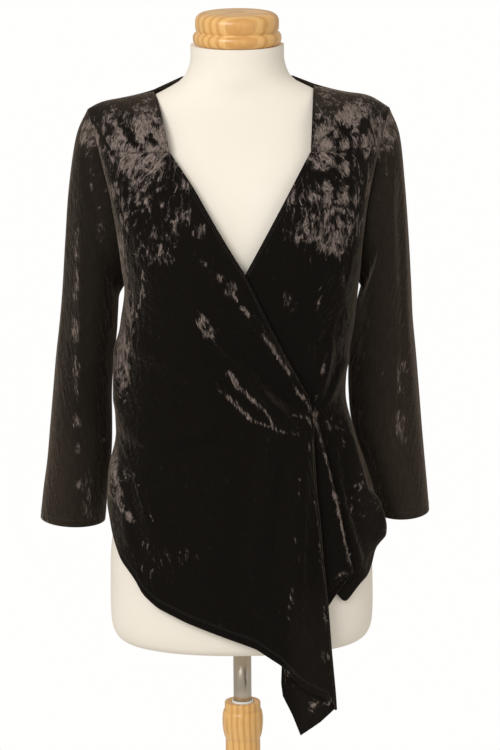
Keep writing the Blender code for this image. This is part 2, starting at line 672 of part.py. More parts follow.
def even(count, low=0.0, high=1.0):
    return [low + (high - low) * n / count for n in range(count + 1)]


def add_cloth(name, columns, rows, point, collection, material, wrap=False, outward=True):
    """Cloth wall whose outside is the surface and whose thickness lies within."""
    cloth = add_object(name, grid_mesh(name, columns, rows, point, wrap), collection, material)
    wall = cloth.modifiers.new("Wall", "SOLIDIFY")
    wall.thickness = CLOTH
    wall.offset = -1.0 if outward else 1.0
    return cloth


def add_turned(name, steps, collection, material):
    """Turned solid from a profile that runs down its outer side."""
    outline = bmesh.new()
    verts = [outline.verts.new((radius, 0.0, height)) for radius, height in steps]
    for upper, lower in zip(verts, verts[1:]):
        outline.edges.new((upper, lower))
    mesh = bpy.data.meshes.new(name)
    outline.to_mesh(mesh)
    outline.free()
    turned = add_object(name, mesh, collection, material)
    screw = turned.modifiers.new("Turn", "SCREW")
    screw.steps = TURNED_STEPS
    screw.render_steps = TURNED_STEPS
    screw.use_merge_vertices = True
    screw.merge_threshold = 0.00005
    return turned


def add_form(collection, material):
    """Torso of the dress form, closed at its underside and at the neck."""
    rows = [row.height for row in FORM]

    def point(around, height):
        x, y = ring_point(level(FORM, height), 360.0 * around)
        tilt = max(0.0, height - NECK_TILT_FROM) * NECK_TILT * y
        return x, y, height + tilt

    mesh = grid_mesh("form_torso", even(FORM_COLUMNS), rows, point, wrap=True)
    shape = bmesh.new()
    shape.from_mesh(mesh)
    bmesh.ops.holes_fill(shape, edges=[edge for edge in shape.edges if edge.is_boundary])
    bmesh.ops.recalc_face_normals(shape, faces=shape.faces)
    shape.to_mesh(mesh)
    shape.free()
    torso = add_object("form_torso", mesh, collection, material)
    mesh.set_sharp_from_angle(angle=math.radians(FORM_SHARP_ANGLE))
    return torso


def add_stand(collection, wood, steel, plastic):
    """Neck cap, pole, guard, post and base, all turned round the form's axis."""
    tilt = math.atan((FORM[-1].height - NECK_TILT_FROM) * NECK_TILT)
    cap = add_turned("form_neck_cap", CAP_STEPS, collection, wood)
    cap.location = (0.0, 0.0, FORM_BASE + CAP_HEIGHT + SEAM_GAP)
    cap.rotation_euler = (tilt, 0.0, 0.0)
    post_top = FORM_BASE + POST_STEPS[0].height
    bore_foot = post_top - POST_BORE_DEPTH
    pole = [
        Step(0.0, FORM_BASE - SEAM_GAP), Step(POLE_RADIUS, FORM_BASE - SEAM_GAP),
        Step(POLE_RADIUS, bore_foot + SEAM_GAP), Step(0.0, bore_foot + SEAM_GAP),
    ]
    add_turned("stand_pole", pole, collection, steel)
    guard_inside = POLE_RADIUS + SEAM_GAP
    guard = [
        Step(guard_inside, FORM_BASE + GUARD_TOP), Step(GUARD_RADIUS, FORM_BASE + GUARD_TOP),
        Step(GUARD_RADIUS, bore_foot + SEAM_GAP), Step(guard_inside, bore_foot + SEAM_GAP),
        Step(guard_inside, FORM_BASE + GUARD_TOP),
    ]
    add_turned("stand_pole_guard", guard, collection, plastic)
    outside = [Step(radius, FORM_BASE + height) for radius, height in POST_STEPS]
    foot = BASE_THICKNESS + SEAM_GAP
    post = [
        Step(0.0, bore_foot), Step(POST_BORE_RADIUS, bore_foot), Step(POST_BORE_RADIUS, post_top),
        *outside, Step(POST_FOOT_RADIUS, foot), Step(0.0, foot),
    ]
    add_turned("stand_post", post, collection, wood)
    base = [
        Step(0.0, BASE_THICKNESS), Step(BASE_RADIUS - BASE_EDGE, BASE_THICKNESS),
        Step(BASE_RADIUS - BASE_EDGE_CUT, BASE_THICKNESS - BASE_EDGE_CUT),
        Step(BASE_RADIUS, BASE_THICKNESS - BASE_EDGE), Step(BASE_RADIUS, 0.0), Step(0.0, 0.0),
    ]
    add_turned("stand_base", base, collection, wood)


def add_blouse(collection, velvet):
    """Panels of the blouse, each a wall of cloth."""
    gathered = even(GATHERED_COLUMNS, 0.0, GATHERED_SHARE)
    over = gathered + even(OVERLAP_COLUMNS, GATHERED_SHARE, 1.0)[1:] + list(TAIL_TURNED_COLUMNS)
    under = gathered + even(UNDERLAP_COLUMNS, GATHERED_SHARE, 1.0)[1:]
    add_cloth("front_overlap", over, even(OVERLAP_ROWS), overlap_point, collection, velvet)
    add_cloth("cascade_tier", TIER_COLUMNS, even(TIER_ROWS), tier_point, collection, velvet)
    add_cloth(
        "front_underlap", under, even(UNDERLAP_ROWS), lambda share, rise: front_point(1, share, rise),
        collection, velvet, outward=False,
    )
    for side, name in ((-1, "yoke_right"), (1, "yoke_left")):
        add_cloth(
            name, even(YOKE_COLUMNS), YOKE_ROWS,
            lambda across, rise, side=side: yoke_point(side, across, rise),
            collection, velvet, outward=side > 0,
        )
    back_rows = even(BACK_ROWS, 0.0, BACK_SPLIT) + list(BACK_TOP_ROWS)
    back_columns = even(BACK_COLUMNS, -1.0, 1.0)
    add_cloth("back_panel", back_columns, back_rows, back_point, collection, velvet, outward=False)
    for side, name in ((-1, "sleeve_right"), (1, "sleeve_left")):
        add_cloth(
            name, even(SLEEVE_COLUMNS), even(SLEEVE_ROWS),
            lambda around, rise, side=side: sleeve_point(side, around, rise),
            collection, velvet, wrap=True, outward=side < 0,
        )


def main():
    for old in list(bpy.data.objects):
        bpy.data.objects.remove(old, do_unlink=True)
    collection = bpy.data.collections.new("Crossover velvet blouse on dress form")
    bpy.context.scene.collection.children.link(collection)
    velvet = finish("Crushed black velvet", (0.012, 0.010, 0.009), 0.75)
    jersey = finish("Cream jersey", (0.88, 0.83, 0.74), 0.85)
    wood = finish("Varnished pine", (0.62, 0.33, 0.10), 0.30)
    steel = finish("Brushed steel", (0.45, 0.42, 0.38), 0.32, 1.0)
    plastic = finish("White plastic", (0.85, 0.86, 0.84), 0.40)
    add_form(collection, jersey)
    add_stand(collection, wood, steel, plastic)
    add_blouse(collection, velvet)


main()
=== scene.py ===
"""Finishes and fine shapes of a crossover velvet blouse on a limbless dress form.

Metres, in the part's own frame: the front faces -Y and +X is to the wearer's left. The tables' rows are in
millimetres, with heights measured up from the underside of the form's torso.
"""

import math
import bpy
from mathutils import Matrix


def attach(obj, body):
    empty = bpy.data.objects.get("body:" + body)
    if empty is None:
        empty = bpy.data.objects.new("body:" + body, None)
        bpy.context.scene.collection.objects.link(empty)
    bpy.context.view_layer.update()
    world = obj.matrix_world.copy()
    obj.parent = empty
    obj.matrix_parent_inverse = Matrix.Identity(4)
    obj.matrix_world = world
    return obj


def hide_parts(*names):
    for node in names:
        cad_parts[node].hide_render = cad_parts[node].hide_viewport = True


bl_info = {
    "name": "Crossover velvet blouse on dress form",
    "version": (1, 0, 0),
    "blender": (4, 5, 0),
    "location": "3D View > Sidebar > Blouse",
    "description": "Builds the blouse's cloth, the dress form, its stand and a plain studio",
    "category": "Object",
}

from collections import namedtuple
from functools import partial

import bmesh
import bpy
import numpy as np
from bpy.props import FloatProperty, FloatVectorProperty, IntProperty, PointerProperty
from mathutils import Matrix, Vector

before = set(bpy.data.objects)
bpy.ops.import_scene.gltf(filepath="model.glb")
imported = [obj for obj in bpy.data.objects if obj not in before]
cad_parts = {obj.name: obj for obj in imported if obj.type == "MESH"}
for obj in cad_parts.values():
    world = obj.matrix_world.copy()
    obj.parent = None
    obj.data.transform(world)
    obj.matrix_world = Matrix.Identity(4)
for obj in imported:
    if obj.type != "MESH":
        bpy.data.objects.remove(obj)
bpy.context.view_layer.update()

FORM_BASE = 0.800
SEAM_GAP = 0.0003

Section = namedtuple("Section", "height left right front back square")
Edge = namedtuple("Edge", "height x")
Hem = namedtuple("Hem", "x height")
Fold = namedtuple("Fold", "x1 height1 x2 height2 bow width rise")
Gather = namedtuple("Gather", "x width drop rise")
Patch = namedtuple("Patch", "x height wide tall strength")
Line = namedtuple("Line", "x1 height1 x2 height2 width strength")
Fullness = namedtuple("Fullness", "middle_x width rise")
Armhole = namedtuple("Armhole", "top_x top_height foot_x foot_height middle_y front_x front_y back_x back_y")
Cuff = namedtuple("Cuff", "outer_x outer_height inner_x inner_height middle_y depth")
Step = namedtuple("Step", "radius height")
Lift = namedtuple("Lift", "height drop x run")
PLAIN_FIELDS = ("square", "strength")


def table(kind, rows):
    """Rows of a table, with their lengths turned from millimetres to metres."""
    scales = [1.0 if field in PLAIN_FIELDS else 1000.0 for field in kind._fields]
    return tuple(kind(*(value / scale for value, scale in zip(row, scales))) for row in rows)


# Outside of the garment's body, a row for each level.
BODY = table(Section, (
    (-140, 166, 170, 102, 95, 2.2), (-20, 168, 172, 103, 104, 2.2), (80, 172, 173, 105, 114, 2.3),
    (140, 172.5, 176.5, 107, 116, 2.3), (190, 171, 171, 107, 113, 2.3), (230, 168, 160, 106, 109, 2.3),
    (270, 159, 146, 104, 104, 2.3), (310, 159, 135.5, 103, 98, 2.3), (340, 159, 134.5, 106, 95, 2.3),
    (385, 155, 140, 112, 93, 2.3), (420, 150, 146, 118, 94, 2.3), (460, 144.5, 150, 124, 97, 2.4),
    (500, 149, 154, 125, 101, 2.5), (570, 156, 159, 110, 107, 2.8), (630, 164, 167, 84, 101, 3),
    (700, 166, 169, 60, 90, 3),
))

# Skin of the dress form.
FORM = table(Section, (
    (0, 140, 140, 80, 88, 2.3), (4, 153, 153, 89, 96, 2.3), (12, 162.5, 162.5, 95, 101, 2.3),
    (30, 168, 168, 98, 105, 2.3), (90, 168.5, 168.5, 98.5, 108, 2.3), (130, 166.5, 166.5, 98, 108, 2.3),
    (180, 158, 158, 96, 105, 2.3), (220, 147, 147, 93, 100, 2.3), (260, 136, 136, 90, 94, 2.3),
    (300, 127.5, 127.5, 88, 88, 2.3), (340, 123.5, 123.5, 89, 84, 2.3), (380, 126, 126, 94, 83, 2.3),
    (420, 130, 130, 101, 85, 2.3), (460, 134, 134, 108, 88, 2.3), (495, 138, 138, 111, 91, 2.3),
    (530, 141, 141, 106, 94, 2.4), (570, 144, 144, 95, 96, 2.5), (600, 147, 147, 85, 94, 2.5),
    (630, 150, 150, 74, 89, 2.5), (660, 147, 147, 64, 80, 2.4), (684, 130.6, 134.5, 57, 69, 2.3),
    (700.3, 106.8, 111.5, 53, 62, 2.2), (710.5, 87.2, 90.5, 52, 58, 2.1), (722, 69, 69, 53, 54, 2),
    (742, 59, 59, 52, 52, 2), (764, 58, 58, 52, 52, 2),
))
NECK_TILT_FROM = 0.720
NECK_TILT = 1.8

# Neck edges and yoke seams of the two fronts, as seen from the front.
OVERLAP_TOP = table(Hem, (
    (-200, 638), (-83, 638), (-55, 598), (8, 494), (90.5, 309), (200, 309),
))
UNDERLAP_TOP = table(Hem, (
    (-200, 200), (-100, 310), (8, 494), (89, 638), (200, 638),
))

# Lower edges, from the wearer's right to left.
OVERLAP_HEM = table(Hem, (
    (-200, 189), (-170.5, 189), (-164.6, 153), (-153, 121), (-131.5, 98), (-123, 84), (-100.5, 67),
    (-64.5, 50), (-2, 25), (18, 17), (44, -3), (56, -21), (69, -36), (98, -55), (120, -61),
))
UNDERLAP_HEM = table(Hem, (
    (-200, 200), (-100, 160), (-60, 105), (60, 95), (118, 84), (131, 67), (149, 87), (162, 98),
    (168, 113), (173, 137), (180, 147), (210, 149),
))
BACK_HEM = ((92.0, 0.148), (130.0, 0.132), (180.0, 0.128), (230.0, 0.140), (268.0, 0.186))

# Folded edges that fall from the knot, top to bottom, and where their turned-back layers end.
TAIL_FOLD = table(Edge, (
    (-70, 116.5), (-46, 115), (10, 110), (65, 106), (123, 100), (186, 95), (218, 91), (279, 88),
    (309, 90), (640, 90),
))
TAIL_RETURN = table(Hem, (
    (116.5, -66), (98, -81), (73, -96), (63, -69), (51, -43), (49, -26),
))
TIER_FOLD = table(Edge, (
    (90, 139.5), (112, 138), (141, 130), (179, 123), (213, 116), (261, 105), (290, 98), (309, 93),
))
TIER_HEM = (Hem(0.094, 0.074), Hem(0.120, 0.096), Hem(0.139, 0.111))
TIER_RETURN = (Hem(0.138, 0.107), Hem(0.118, 0.081), Hem(0.107, 0.065), Hem(0.101, 0.059))

KNOT_HEIGHT = 0.309
KNOT_TUCK = 0.012
OVERLAP_LIFT = 0.0050
TAIL_LIFT = 0.0190
TAIL_TURN_RADIUS = 0.0035
TIER_LIFT = 0.0085
TIER_TOP_LIFT = 0.0049
TIER_TURN_RADIUS = 0.0026
TURN_NARROWING = 0.75
TURN_NARROWING_RUN = 0.05
TAIL_TURN_SHARE = 0.35
TIER_TURN_SHARE = 0.4
RETURN_SPREAD = 0.85
RETURN_SINK = 0.0004
TIER_TOP_GAP = 0.006
TIER_SPREAD = 0.9
TIER_TUCK = 0.004
TIER_BOW = 0.0012
EDGE_SOFTNESS = 0.006
HEM_SOFTNESS = 0.004
TOP_SOFTNESS = 0.002
BACK_HEM_SOFTNESS = 4.0

# Where the crossing front leaves the body, and where its tail leaves the underlap, by height and x.
CROSSED = Lift(0.590, 0.080, -0.150, 0.050)
RAISED = Lift(0.345, 0.060, 0.005, 0.055)

# Folds that run to the knot, and those that fall from it.
OVERLAP_FOLDS = table(Fold, (
    (8, 452, 86, 320, 0, 6.5, 5), (-50, 445, 44, 314, -4, 7, 5), (-36, 370, 58, 302, -14, 6.5, 4),
    (-48, 515, 24, 424, 0, 8, 3), (-130, 400, -20, 330, -14, 14, 4.5), (-150, 290, -30, 300, 10, 15, 5),
    (40, 290, 12, 70, 6, 12, 4.5), (68, 292, 60, 10, 4, 9, 5), (86, 300, 101, 20, 0, 8, 5),
    (-120, 240, -60, 90, 10, 16, 3.5), (-150, 240, -138, 140, 0, 9, 3.5), (-152, 400, -153, 310, 0, 7, 5),
    (-158, 240, -160, 200, 0, 7, 4),
))
UNDERLAP_FOLDS = table(Fold, (
    (96, 330, 112, 405, 3, 6, 3.5), (106, 322, 134, 375, 0, 7, 3.5), (112, 292, 150, 110, 8, 7.5, 5.5),
    (126, 300, 168, 150, 4, 10, 12), (60, 500, 130, 455, 4, 14, 3), (156, 205, 174, 135, 0, 6, 9),
))
BACK_FOLDS = table(Fold, (
    (-120, 310, 10, 335, 12, 13, 4), (115, 300, -20, 290, -10, 13, 4), (-70, 270, -85, 130, 4, 15, 6),
    (0, 250, 6, 120, 4, 17, 6), (75, 270, 95, 120, -4, 15, 6), (-110, 590, -60, 480, 10, 13, 3.5),
    (110, 590, 60, 480, -10, 13, 3.5),
))

# Small creases that the solids leave out, ridges above zero and troughs below.
OVERLAP_CREASES = table(Fold, (
    (72, 355, 88, 318, 0, 2.2, 1.1), (62, 350, 85, 314, 1, 2.2, -0.9), (30, 345, 82, 311, -2, 3, -1.4),
    (-10, 330, 70, 298, -7, 3, -1.2), (-20, 410, 60, 325, -3, 4, -1.4), (90, 285, 105, 70, 0, 2.6, -1.3),
    (79, 285, 82, 80, 1, 3.2, -1.3), (66, 180, 58, 60, 1, 2.6, 1), (52, 290, 36, 120, 4, 5, -1.2),
    (-60, 430, -10, 360, -3, 6, -1.1), (-110, 350, -40, 320, -6, 7, -1.2),
    (-90, 270, -20, 285, 4, 8, -1.1), (-137, 480, -127, 395, 1, 2.8, 1.2),
    (-147, 410, -141, 345, 1, 3, -1.2), (-152, 275, -110, 184, -3, 2.2, 1.1),
    (-158, 255, -136, 186, 4, 3, -1.3), (-150, 225, -128, 180, 2, 2.6, 1),
    (-60, 575, -20, 505, 2, 7, -0.9), (-128, 560, -112, 500, 2, 5, 1), (-100, 515, -55, 540, 4, 5, 0.9),
    (-50, 140, -20, 60, 3, 10, 1), (20, 150, 4, 40, -2, 8, -0.9), (92, 30, 98, -50, 0, 4, -0.9),
    (76, 40, 82, -30, 1, 5, 0.8),
))
UNDERLAP_CREASES = table(Fold, (
    (94, 325, 100, 385, 1, 2.2, 1), (100, 320, 122, 372, 1, 2.4, -1), (98, 310, 132, 300, -4, 2.8, 1.2),
    (104, 303, 138, 272, -4, 2.6, -1.1), (128, 250, 150, 150, 1, 3, -1.2), (142, 240, 158, 140, 1, 3, 1),
    (160, 220, 168, 150, 0, 2.6, -1), (120, 500, 136, 420, 2, 6, 1), (70, 440, 104, 380, 0, 6, -1),
    (146, 520, 132, 470, 1, 4, 0.8),
))
BACK_CREASES = table(Fold, (
    (-140, 400, -40, 345, 6, 6, 1.2), (135, 390, 30, 350, -6, 6, 1.2), (-100, 290, -10, 315, 8, 6, -1.4),
    (110, 330, 20, 310, -6, 5, -1.3), (-40, 262, -46, 140, 3, 7, -1.5), (40, 262, 52, 135, -3, 7, -1.5),
    (-105, 240, -122, 150, 2, 6, 1.3), (118, 250, 136, 160, -2, 6, 1.2), (-20, 620, -12, 520, 3, 9, -1),
    (30, 600, 24, 500, 2, 9, 0.9), (-130, 520, -108, 430, 3, 5, 1.2), (136, 520, 112, 430, -3, 5, 1.2),
))
# Sleeve creases, by distance round the sleeve from the underarm seam and by height.
SLEEVE_CREASES = table(Fold, (
    (60, 430, 100, 400, 3, 6, 1.6), (50, 395, 105, 350, 4, 6, 1.4), (62, 360, 90, 310, 2, 7, -1.2),
    (120, 600, 112, 470, 2, 8, 1.4), (150, 620, 140, 300, 4, 9, 1.6), (128, 560, 122, 360, -2, 6, -1.1),
    (170, 480, 168, 190, 3, 9, -1.2), (205, 600, 212, 360, 2, 10, 1.4), (250, 520, 262, 250, -3, 9, 1.4),
    (290, 430, 250, 400, 3, 6, 1.5), (300, 380, 262, 345, 3, 6, 1.3), (90, 280, 94, 190, 1, 6, 1.2),
    (110, 260, 116, 170, 1, 6, -1), (300, 300, 308, 180, 2, 8, 1.2),
))

# Gathers under each yoke seam, uneven in width and length.
GATHERS = {
    -1: table(Gather, (
        (-86, 2.6, 40, 1.6), (-92.5, 2, 26, 1.2), (-98, 2.8, 52, 1.8), (-105, 2.2, 34, 1.4),
        (-110.5, 2.4, 58, 1.8), (-117, 2.1, 30, 1.2), (-122.5, 2.7, 60, 1.8), (-129, 2, 36, 1.3),
        (-134.5, 2.4, 48, 1.5), (-141, 2.2, 30, 1.1), (-146.5, 2.2, 36, 0.9),
    )),
    1: table(Gather, (
        (92, 2.4, 36, 1.4), (98, 2, 50, 1.6), (103.5, 2.2, 30, 1.2), (109.5, 2.6, 62, 1.8),
        (116, 2.1, 34, 1.3), (121.5, 2.5, 66, 1.8), (128, 2.1, 40, 1.4), (134, 2.6, 70, 1.7),
        (140.5, 2, 34, 1.2), (146, 2.4, 46, 1.3), (152, 2, 30, 0.9),
    )),
}

# Crushed pile on the front, as seen from the front: partly the cloth's own crushed pattern, partly painted
# highlight, strongest on the yokes and upper chest where the light falls.
FRONT_CRUSH_AND_HIGHLIGHTS = table(Patch, (
    (-110, 695, 8.5, 7.5, 0.45), (-113, 663, 18, 26, 1.22), (-92, 655, 11, 25, 1.15),
    (-150, 658, 17, 23, 1.12), (-176, 650, 10, 17, 0.95), (-134, 632, 19, 20, 1.15),
    (-104, 624, 15.6, 17.3, 1.12), (-123, 605, 13.2, 14.8, 0.9), (-75, 629, 9.6, 9.8, 0.75),
    (-151, 591, 5.9, 11.1, 0.8), (-123, 586, 4.7, 13.5, 0.9), (-112, 579, 3.6, 6.1, 0.9),
    (-93, 579, 3.6, 6.1, 0.9), (-99, 596, 4.8, 5.5, 0.7), (-67, 599, 8.4, 7.4, 0.6),
    (-141, 565, 8.2, 19.7, 0.75), (-148, 515, 10, 24.9, 0.8), (-145, 489, 10.2, 13.8, 0.7),
    (-67, 567, 10.7, 14.7, 0.6), (-79, 544, 4.6, 17.1, 0.65), (-48, 546, 8.4, 7.4, 0.7),
    (-96, 541, 10.8, 5.6, 0.6), (-102, 518, 21.6, 11.2, 0.65), (-108, 515, 10.2, 5, 0.8),
    (-43, 509, 5.4, 4.9, 0.6), (-23, 491, 5.4, 5.6, 0.8), (-10, 478, 6.6, 9.3, 0.75),
    (-118, 479, 3.4, 17.3, 0.6), (-115, 605, 52, 65, 0.3), (115, 600, 48, 70, 0.32),
    (103, 367, 3.5, 7, 0.5), (108, 384, 3, 8, 0.4), (97, 335, 3, 6, 0.4), (109, 698, 12.3, 12.4, 0.5),
    (140, 676, 22, 15, 1.22), (172, 655, 12, 21, 0.92), (106, 652, 14, 33, 1.05),
    (130, 643, 7.3, 12.3, 0.95), (144, 644, 4.9, 16, 0.8), (156, 641, 7.4, 12.3, 0.85),
    (130, 617, 6.1, 9.2, 1.1), (100, 626, 15, 10, 0.92), (89, 584, 12.2, 9.9, 0.85),
    (107, 589, 8.5, 13.5, 0.95), (128, 581, 7.3, 16, 1), (143, 577, 7.3, 11.1, 0.8),
    (109, 553, 40, 27, 0.78), (117, 525, 18.2, 13.6, 0.9), (83, 534, 18.2, 3.8, 0.8),
    (67, 583, 7.2, 14.7, 0.6), (130, 476, 4.3, 7.4, 0.5), (97, 462, 4.8, 14.2, 0.45),
    (160, 592, 3.7, 25.9, 0.55), (172, 596, 3.1, 12.4, 0.4), (-46, 437, 6.6, 9.3, 0.95),
    (-36, 422, 7.2, 8.7, 0.9), (-146, 380, 9.4, 36.9, 1), (-137, 440, 8.3, 26.5, 0.65),
    (-148, 334, 7.9, 11.5, 0.5), (-163, 259, 6.5, 23.2, 0.65), (-161, 244, 6, 18, 0.9),
    (-143, 235, 4.2, 12.9, 0.7), (-118, 129, 11.5, 23.3, 0.28), (-80, 139, 26.6, 18.2, 0.22),
    (91, 311, 8, 8.8, 0.8), (115, 296, 11, 7, 0.36), (129, 276, 4.9, 11.4, 0.45), (126, 111, 6, 4.2, 0.8),
    (60, -15, 7.4, 14.3, 0.3), (90, -59, 6.8, 11.8, 0.55), (109, -53, 5.6, 7.9, 0.55),
    (103, 7, 5, 7.8, 0.7), (66, 162, 2.6, 3.6, 0.5), (62, 462, 7.2, 12.4, 0.35),
    (148, 210, 10.6, 32.1, 0.3), (173, 198, 8.8, 14.2, 0.45),
))
# Painted highlights along the fronts' fold ridges and gathers; rows below zero are painted shade in grooves
# near the yoke seams.
FRONT_PAINTED_HIGHLIGHTS_AND_SHADE = table(Line, (
    (-163, 250, -157, 215, 6.8, 1.05), (-157, 216, -151, 190, 5.8, 1.05),
    (-151, 190, -134, 174, 4.4, 1.05), (-11, 475, -1, 462, 2.6, 0.8), (1, 457, 12, 445, 3.8, 0.9),
    (28, 422, 62, 367, 2.9, 1), (64, 355, 88, 322, 3.2, 0.7), (-14, 375, 0, 350, 3.8, 1),
    (0, 353, 27, 325, 3.2, 1), (30, 325, 47, 295, 2.2, 0.7), (-29, 359, -17, 341, 2.6, 0.5),
    (-17, 343, 15, 310, 3.2, 0.95), (15, 310, 59, 295, 1.9, 0.95), (59, 295, 73, 294, 1.4, 0.6),
    (61, 316, 78, 314, 1.5, 0.9), (-122, 481, -114, 493, 1.9, 0.4), (-116, 492, -124, 444, 1.6, 0.8),
    (-125, 444, -134, 407, 1.6, 0.7), (128, 395, 135, 415, 3.2, 0.45), (113, 371, 121, 395, 1.9, 0.4),
    (137, 413, 143, 436, 1.9, 0.3), (93, 308, 116, 220, 1.5, 0.75), (116, 219, 137, 120, 2.7, 1.05),
    (84, 285, 87, 267, 1.4, 0.8), (90, 221, 101, 123, 1.4, 0.6), (73, 241, 73, 212, 1.8, 0.55),
    (73, 154, 68, 103, 2.6, 0.25), (64, 103, 58, 61, 1.2, 0.9), (102, 87, 106, 38, 1.2, 0.7),
    (-153, 281, -107, 178, 1.1, 0.5), (125, 104, 118, 110, 1.3, 0.6), (96.5, 692, 94.5, 640, 1, 0.8),
    (101, 690, 100, 636, 1.3, 0.9), (106, 686, 106, 628, 1.1, 0.8), (111, 680, 111, 634, 1, 0.7),
    (133, 620, 132, 560, 1.2, 0.7), (147, 625, 148, 575, 1.1, 0.65), (170, 630, 171, 590, 1, 0.6),
    (-164, 630, -165, 560, 1.1, 0.6), (-132, 610, -138, 535, 1.2, 0.7),
    (-179, 667, -152, 632, 2.2, -0.95), (-146, 679, -123.5, 645, 4.5, -0.8),
    (-160, 668, -156, 655, 3.8, -0.75), (-108, 662, -100, 646, 3, -0.7),
    (-118, 628, -104, 618, 2.6, -0.6), (118, 668, 140, 660, 5, -0.62), (152, 669, 161, 665, 4, -0.6),
    (116, 640, 150, 634, 3, -0.6),
))
# Crushed pile on the sleeves, as seen from the front: partly the cloth's own crushed pattern, partly painted
# highlight, strongest on the sleeve heads.
SLEEVE_CRUSH_AND_HIGHLIGHTS = table(Patch, (
    (-180, 654, 16, 18.5, 1), (-181, 618, 2, 25.9, 0.6), (-162, 611, 2.7, 23.5, 0.5),
    (-202, 513, 2.6, 56.4, 0.6), (-171, 546, 4.5, 23.1, 0.4), (-204, 462, 4.7, 12.7, 0.62),
    (-205, 411, 4.7, 17.8, 0.76), (-206, 353, 4, 23.2, 0.76), (-207, 292, 4.2, 10.4, 0.76),
    (-207, 256, 3.2, 7.8, 0.76), (-206, 210, 3.7, 6.6, 0.72), (-197, 189, 6.4, 32.9, 0.5),
    (-172, 266, 3.7, 4.6, 0.6), (-245, 236, 4.8, 14.4, 0.4), (178, 656, 17, 26, 1),
    (183, 624, 3.1, 13.6, 0.5), (198, 538, 2.5, 11.3, 0.4), (199, 473, 1.9, 3.8, 0.5),
    (205, 360, 7, 10, 0.52), (201, 333, 5, 14, 0.5), (203, 285, 6.5, 16, 0.72), (208, 262, 5, 8, 0.5),
    (180, 355, 1.8, 10, 0.5), (222, 375, 3, 8, 0.4),
))
# Crushed pile on the back, as seen from the front through the form.
BACK_CRUSH = table(Patch, (
    (-105, 640, 38, 32, 0.92), (-68, 668, 26, 15, 0.72), (100, 648, 40, 30, 0.95), (60, 672, 28, 14, 0.7),
    (-10, 690, 40, 12, 0.5), (-100, 585, 22, 30, 0.66), (108, 580, 20, 30, 0.68), (0, 610, 120, 70, 0.32),
    (-120, 530, 12, 26, 0.5), (125, 520, 11, 25, 0.48), (-135, 430, 9, 42, 0.66), (128, 400, 8, 38, 0.62),
    (-60, 322, 30, 10, 0.36), (55, 312, 30, 11, 0.34), (-82, 215, 7, 34, 0.4), (90, 205, 7, 34, 0.4),
    (-145, 235, 9, 28, 0.55),
))

ARMHOLES = {
    -1: Armhole(-0.187, 0.680, -0.145, 0.462, 0.006, -0.156, -0.048, -0.161, 0.062),
    1: Armhole(0.189, 0.682, 0.151, 0.464, 0.006, 0.160, -0.048, 0.164, 0.062),
}
# Fullness of the cloth over each shoulder and along the front of each armhole.
SHOULDER_FULLNESS = {-1: Fullness(0.176, 0.025, 0.0060), 1: Fullness(0.166, 0.023, 0.0060)}
SHOULDER_FULL_FROM = 0.600
SHOULDER_FULL_RUN = 0.060
ARMHOLE_FULLNESS = 0.0075
ARMHOLE_FULL_WIDTH = 0.018
BACK_SPLIT = 0.80
BACK_NECK_SHARE = 0.5
BACK_CURVE_SHARE = 0.3
NECK_POINTS = {-1: (-0.105, 0.706), 1: (0.095, 0.712)}
SHOULDER_SEAM_Y = 0.006
SHOULDER_CROWN = 0.004
SLEEVE_SEAM_X = 0.0002
YOKE_CORNERS = {-1: -0.083, 1: 0.089}
BACK_NECK_Y = 0.062
BACK_NECK_SIDE_X = 0.070
BACK_NECK_SIDE_Y = 0.040
BACK_NECK_HEIGHT = 0.722
BACK_NECK_STAND = 0.0024
YOKE_HEIGHT = 0.638
SIDE_ANGLE = 92.0
GATHERED_SHARE = 0.36
GATHERS_FROM = {-1: 0.075, 1: 0.080}
GATHERS_RUN = 0.010
GATHER_START = 0.004
GATHER_SPREAD = 0.060
SEAM_PULL = 0.0007
SEAM_PULL_DROP = 0.0012
FRONT_STILL_SHARE = 0.08
PANEL_HOLD_SHARE = 0.30
YOKE_HOLD_SHARE = 0.55
BACK_STAND_SHARE = 0.35
BACK_FREE_SHARE = 0.12
BACK_OVERRUN = 0.05
ARMHOLE_RUN = 0.03
UNDERLAP_EDGE_X = -0.100
CREASED_SLEEVE_WIDTH = 0.36
STEADY_SLEEVE_SHARE = 0.10

# Stitching: distances from the edges, and the lengths that turn them into shares of a piece.
EDGE_STITCHES = (0.0030, 0.0062)
HEM_STITCHES = (0.0105, 0.0125)
EDGE_STITCH_SLANT = 1.25
YOKE_WIDTH = 0.085
BACK_LENGTH = 0.62
SLEEVE_LENGTH = 0.50
STITCH_START = 0.2
STITCH_SHARE = 0.72
TURN_COLUMNS = 8

# Sleeve levels below the armhole, each an oval between its outer and inner side.
SLEEVES = {
    -1: table(Cuff, (
        (-202, 650, -151.5, 450, 6, 60), (-212.5, 590, -153.5, 432, 9, 62),
        (-219, 520, -155.5, 405, 13, 61), (-224, 460, -159, 376, 18, 60),
        (-229, 415, -162.5, 347, 24, 58), (-235, 370, -164.5, 318, 29, 56),
        (-240.5, 320, -165, 284, 34, 54), (-245.5, 274, -166, 250, 37, 53),
        (-250, 232, -169, 217, 39, 52), (-256, 192, -173, 184, 40, 52),
        (-260.5, 155, -176.5, 150, 40, 53),
    )),
    1: table(Cuff, (
        (202, 650, 155.5, 452, 6, 60), (209, 590, 148.2, 434, 9, 62), (214.5, 520, 144.2, 407, 13, 61),
        (218.5, 460, 140.2, 378, 18, 60), (221, 415, 138.5, 349, 24, 58), (225.5, 370, 139, 320, 29, 56),
        (230, 320, 142, 286, 34, 54), (234, 274, 150.5, 252, 39, 53), (238, 232, 161, 219, 43, 52),
        (241.5, 196, 170, 188, 45, 52), (244.5, 160, 177, 156, 45, 53),
    )),
}

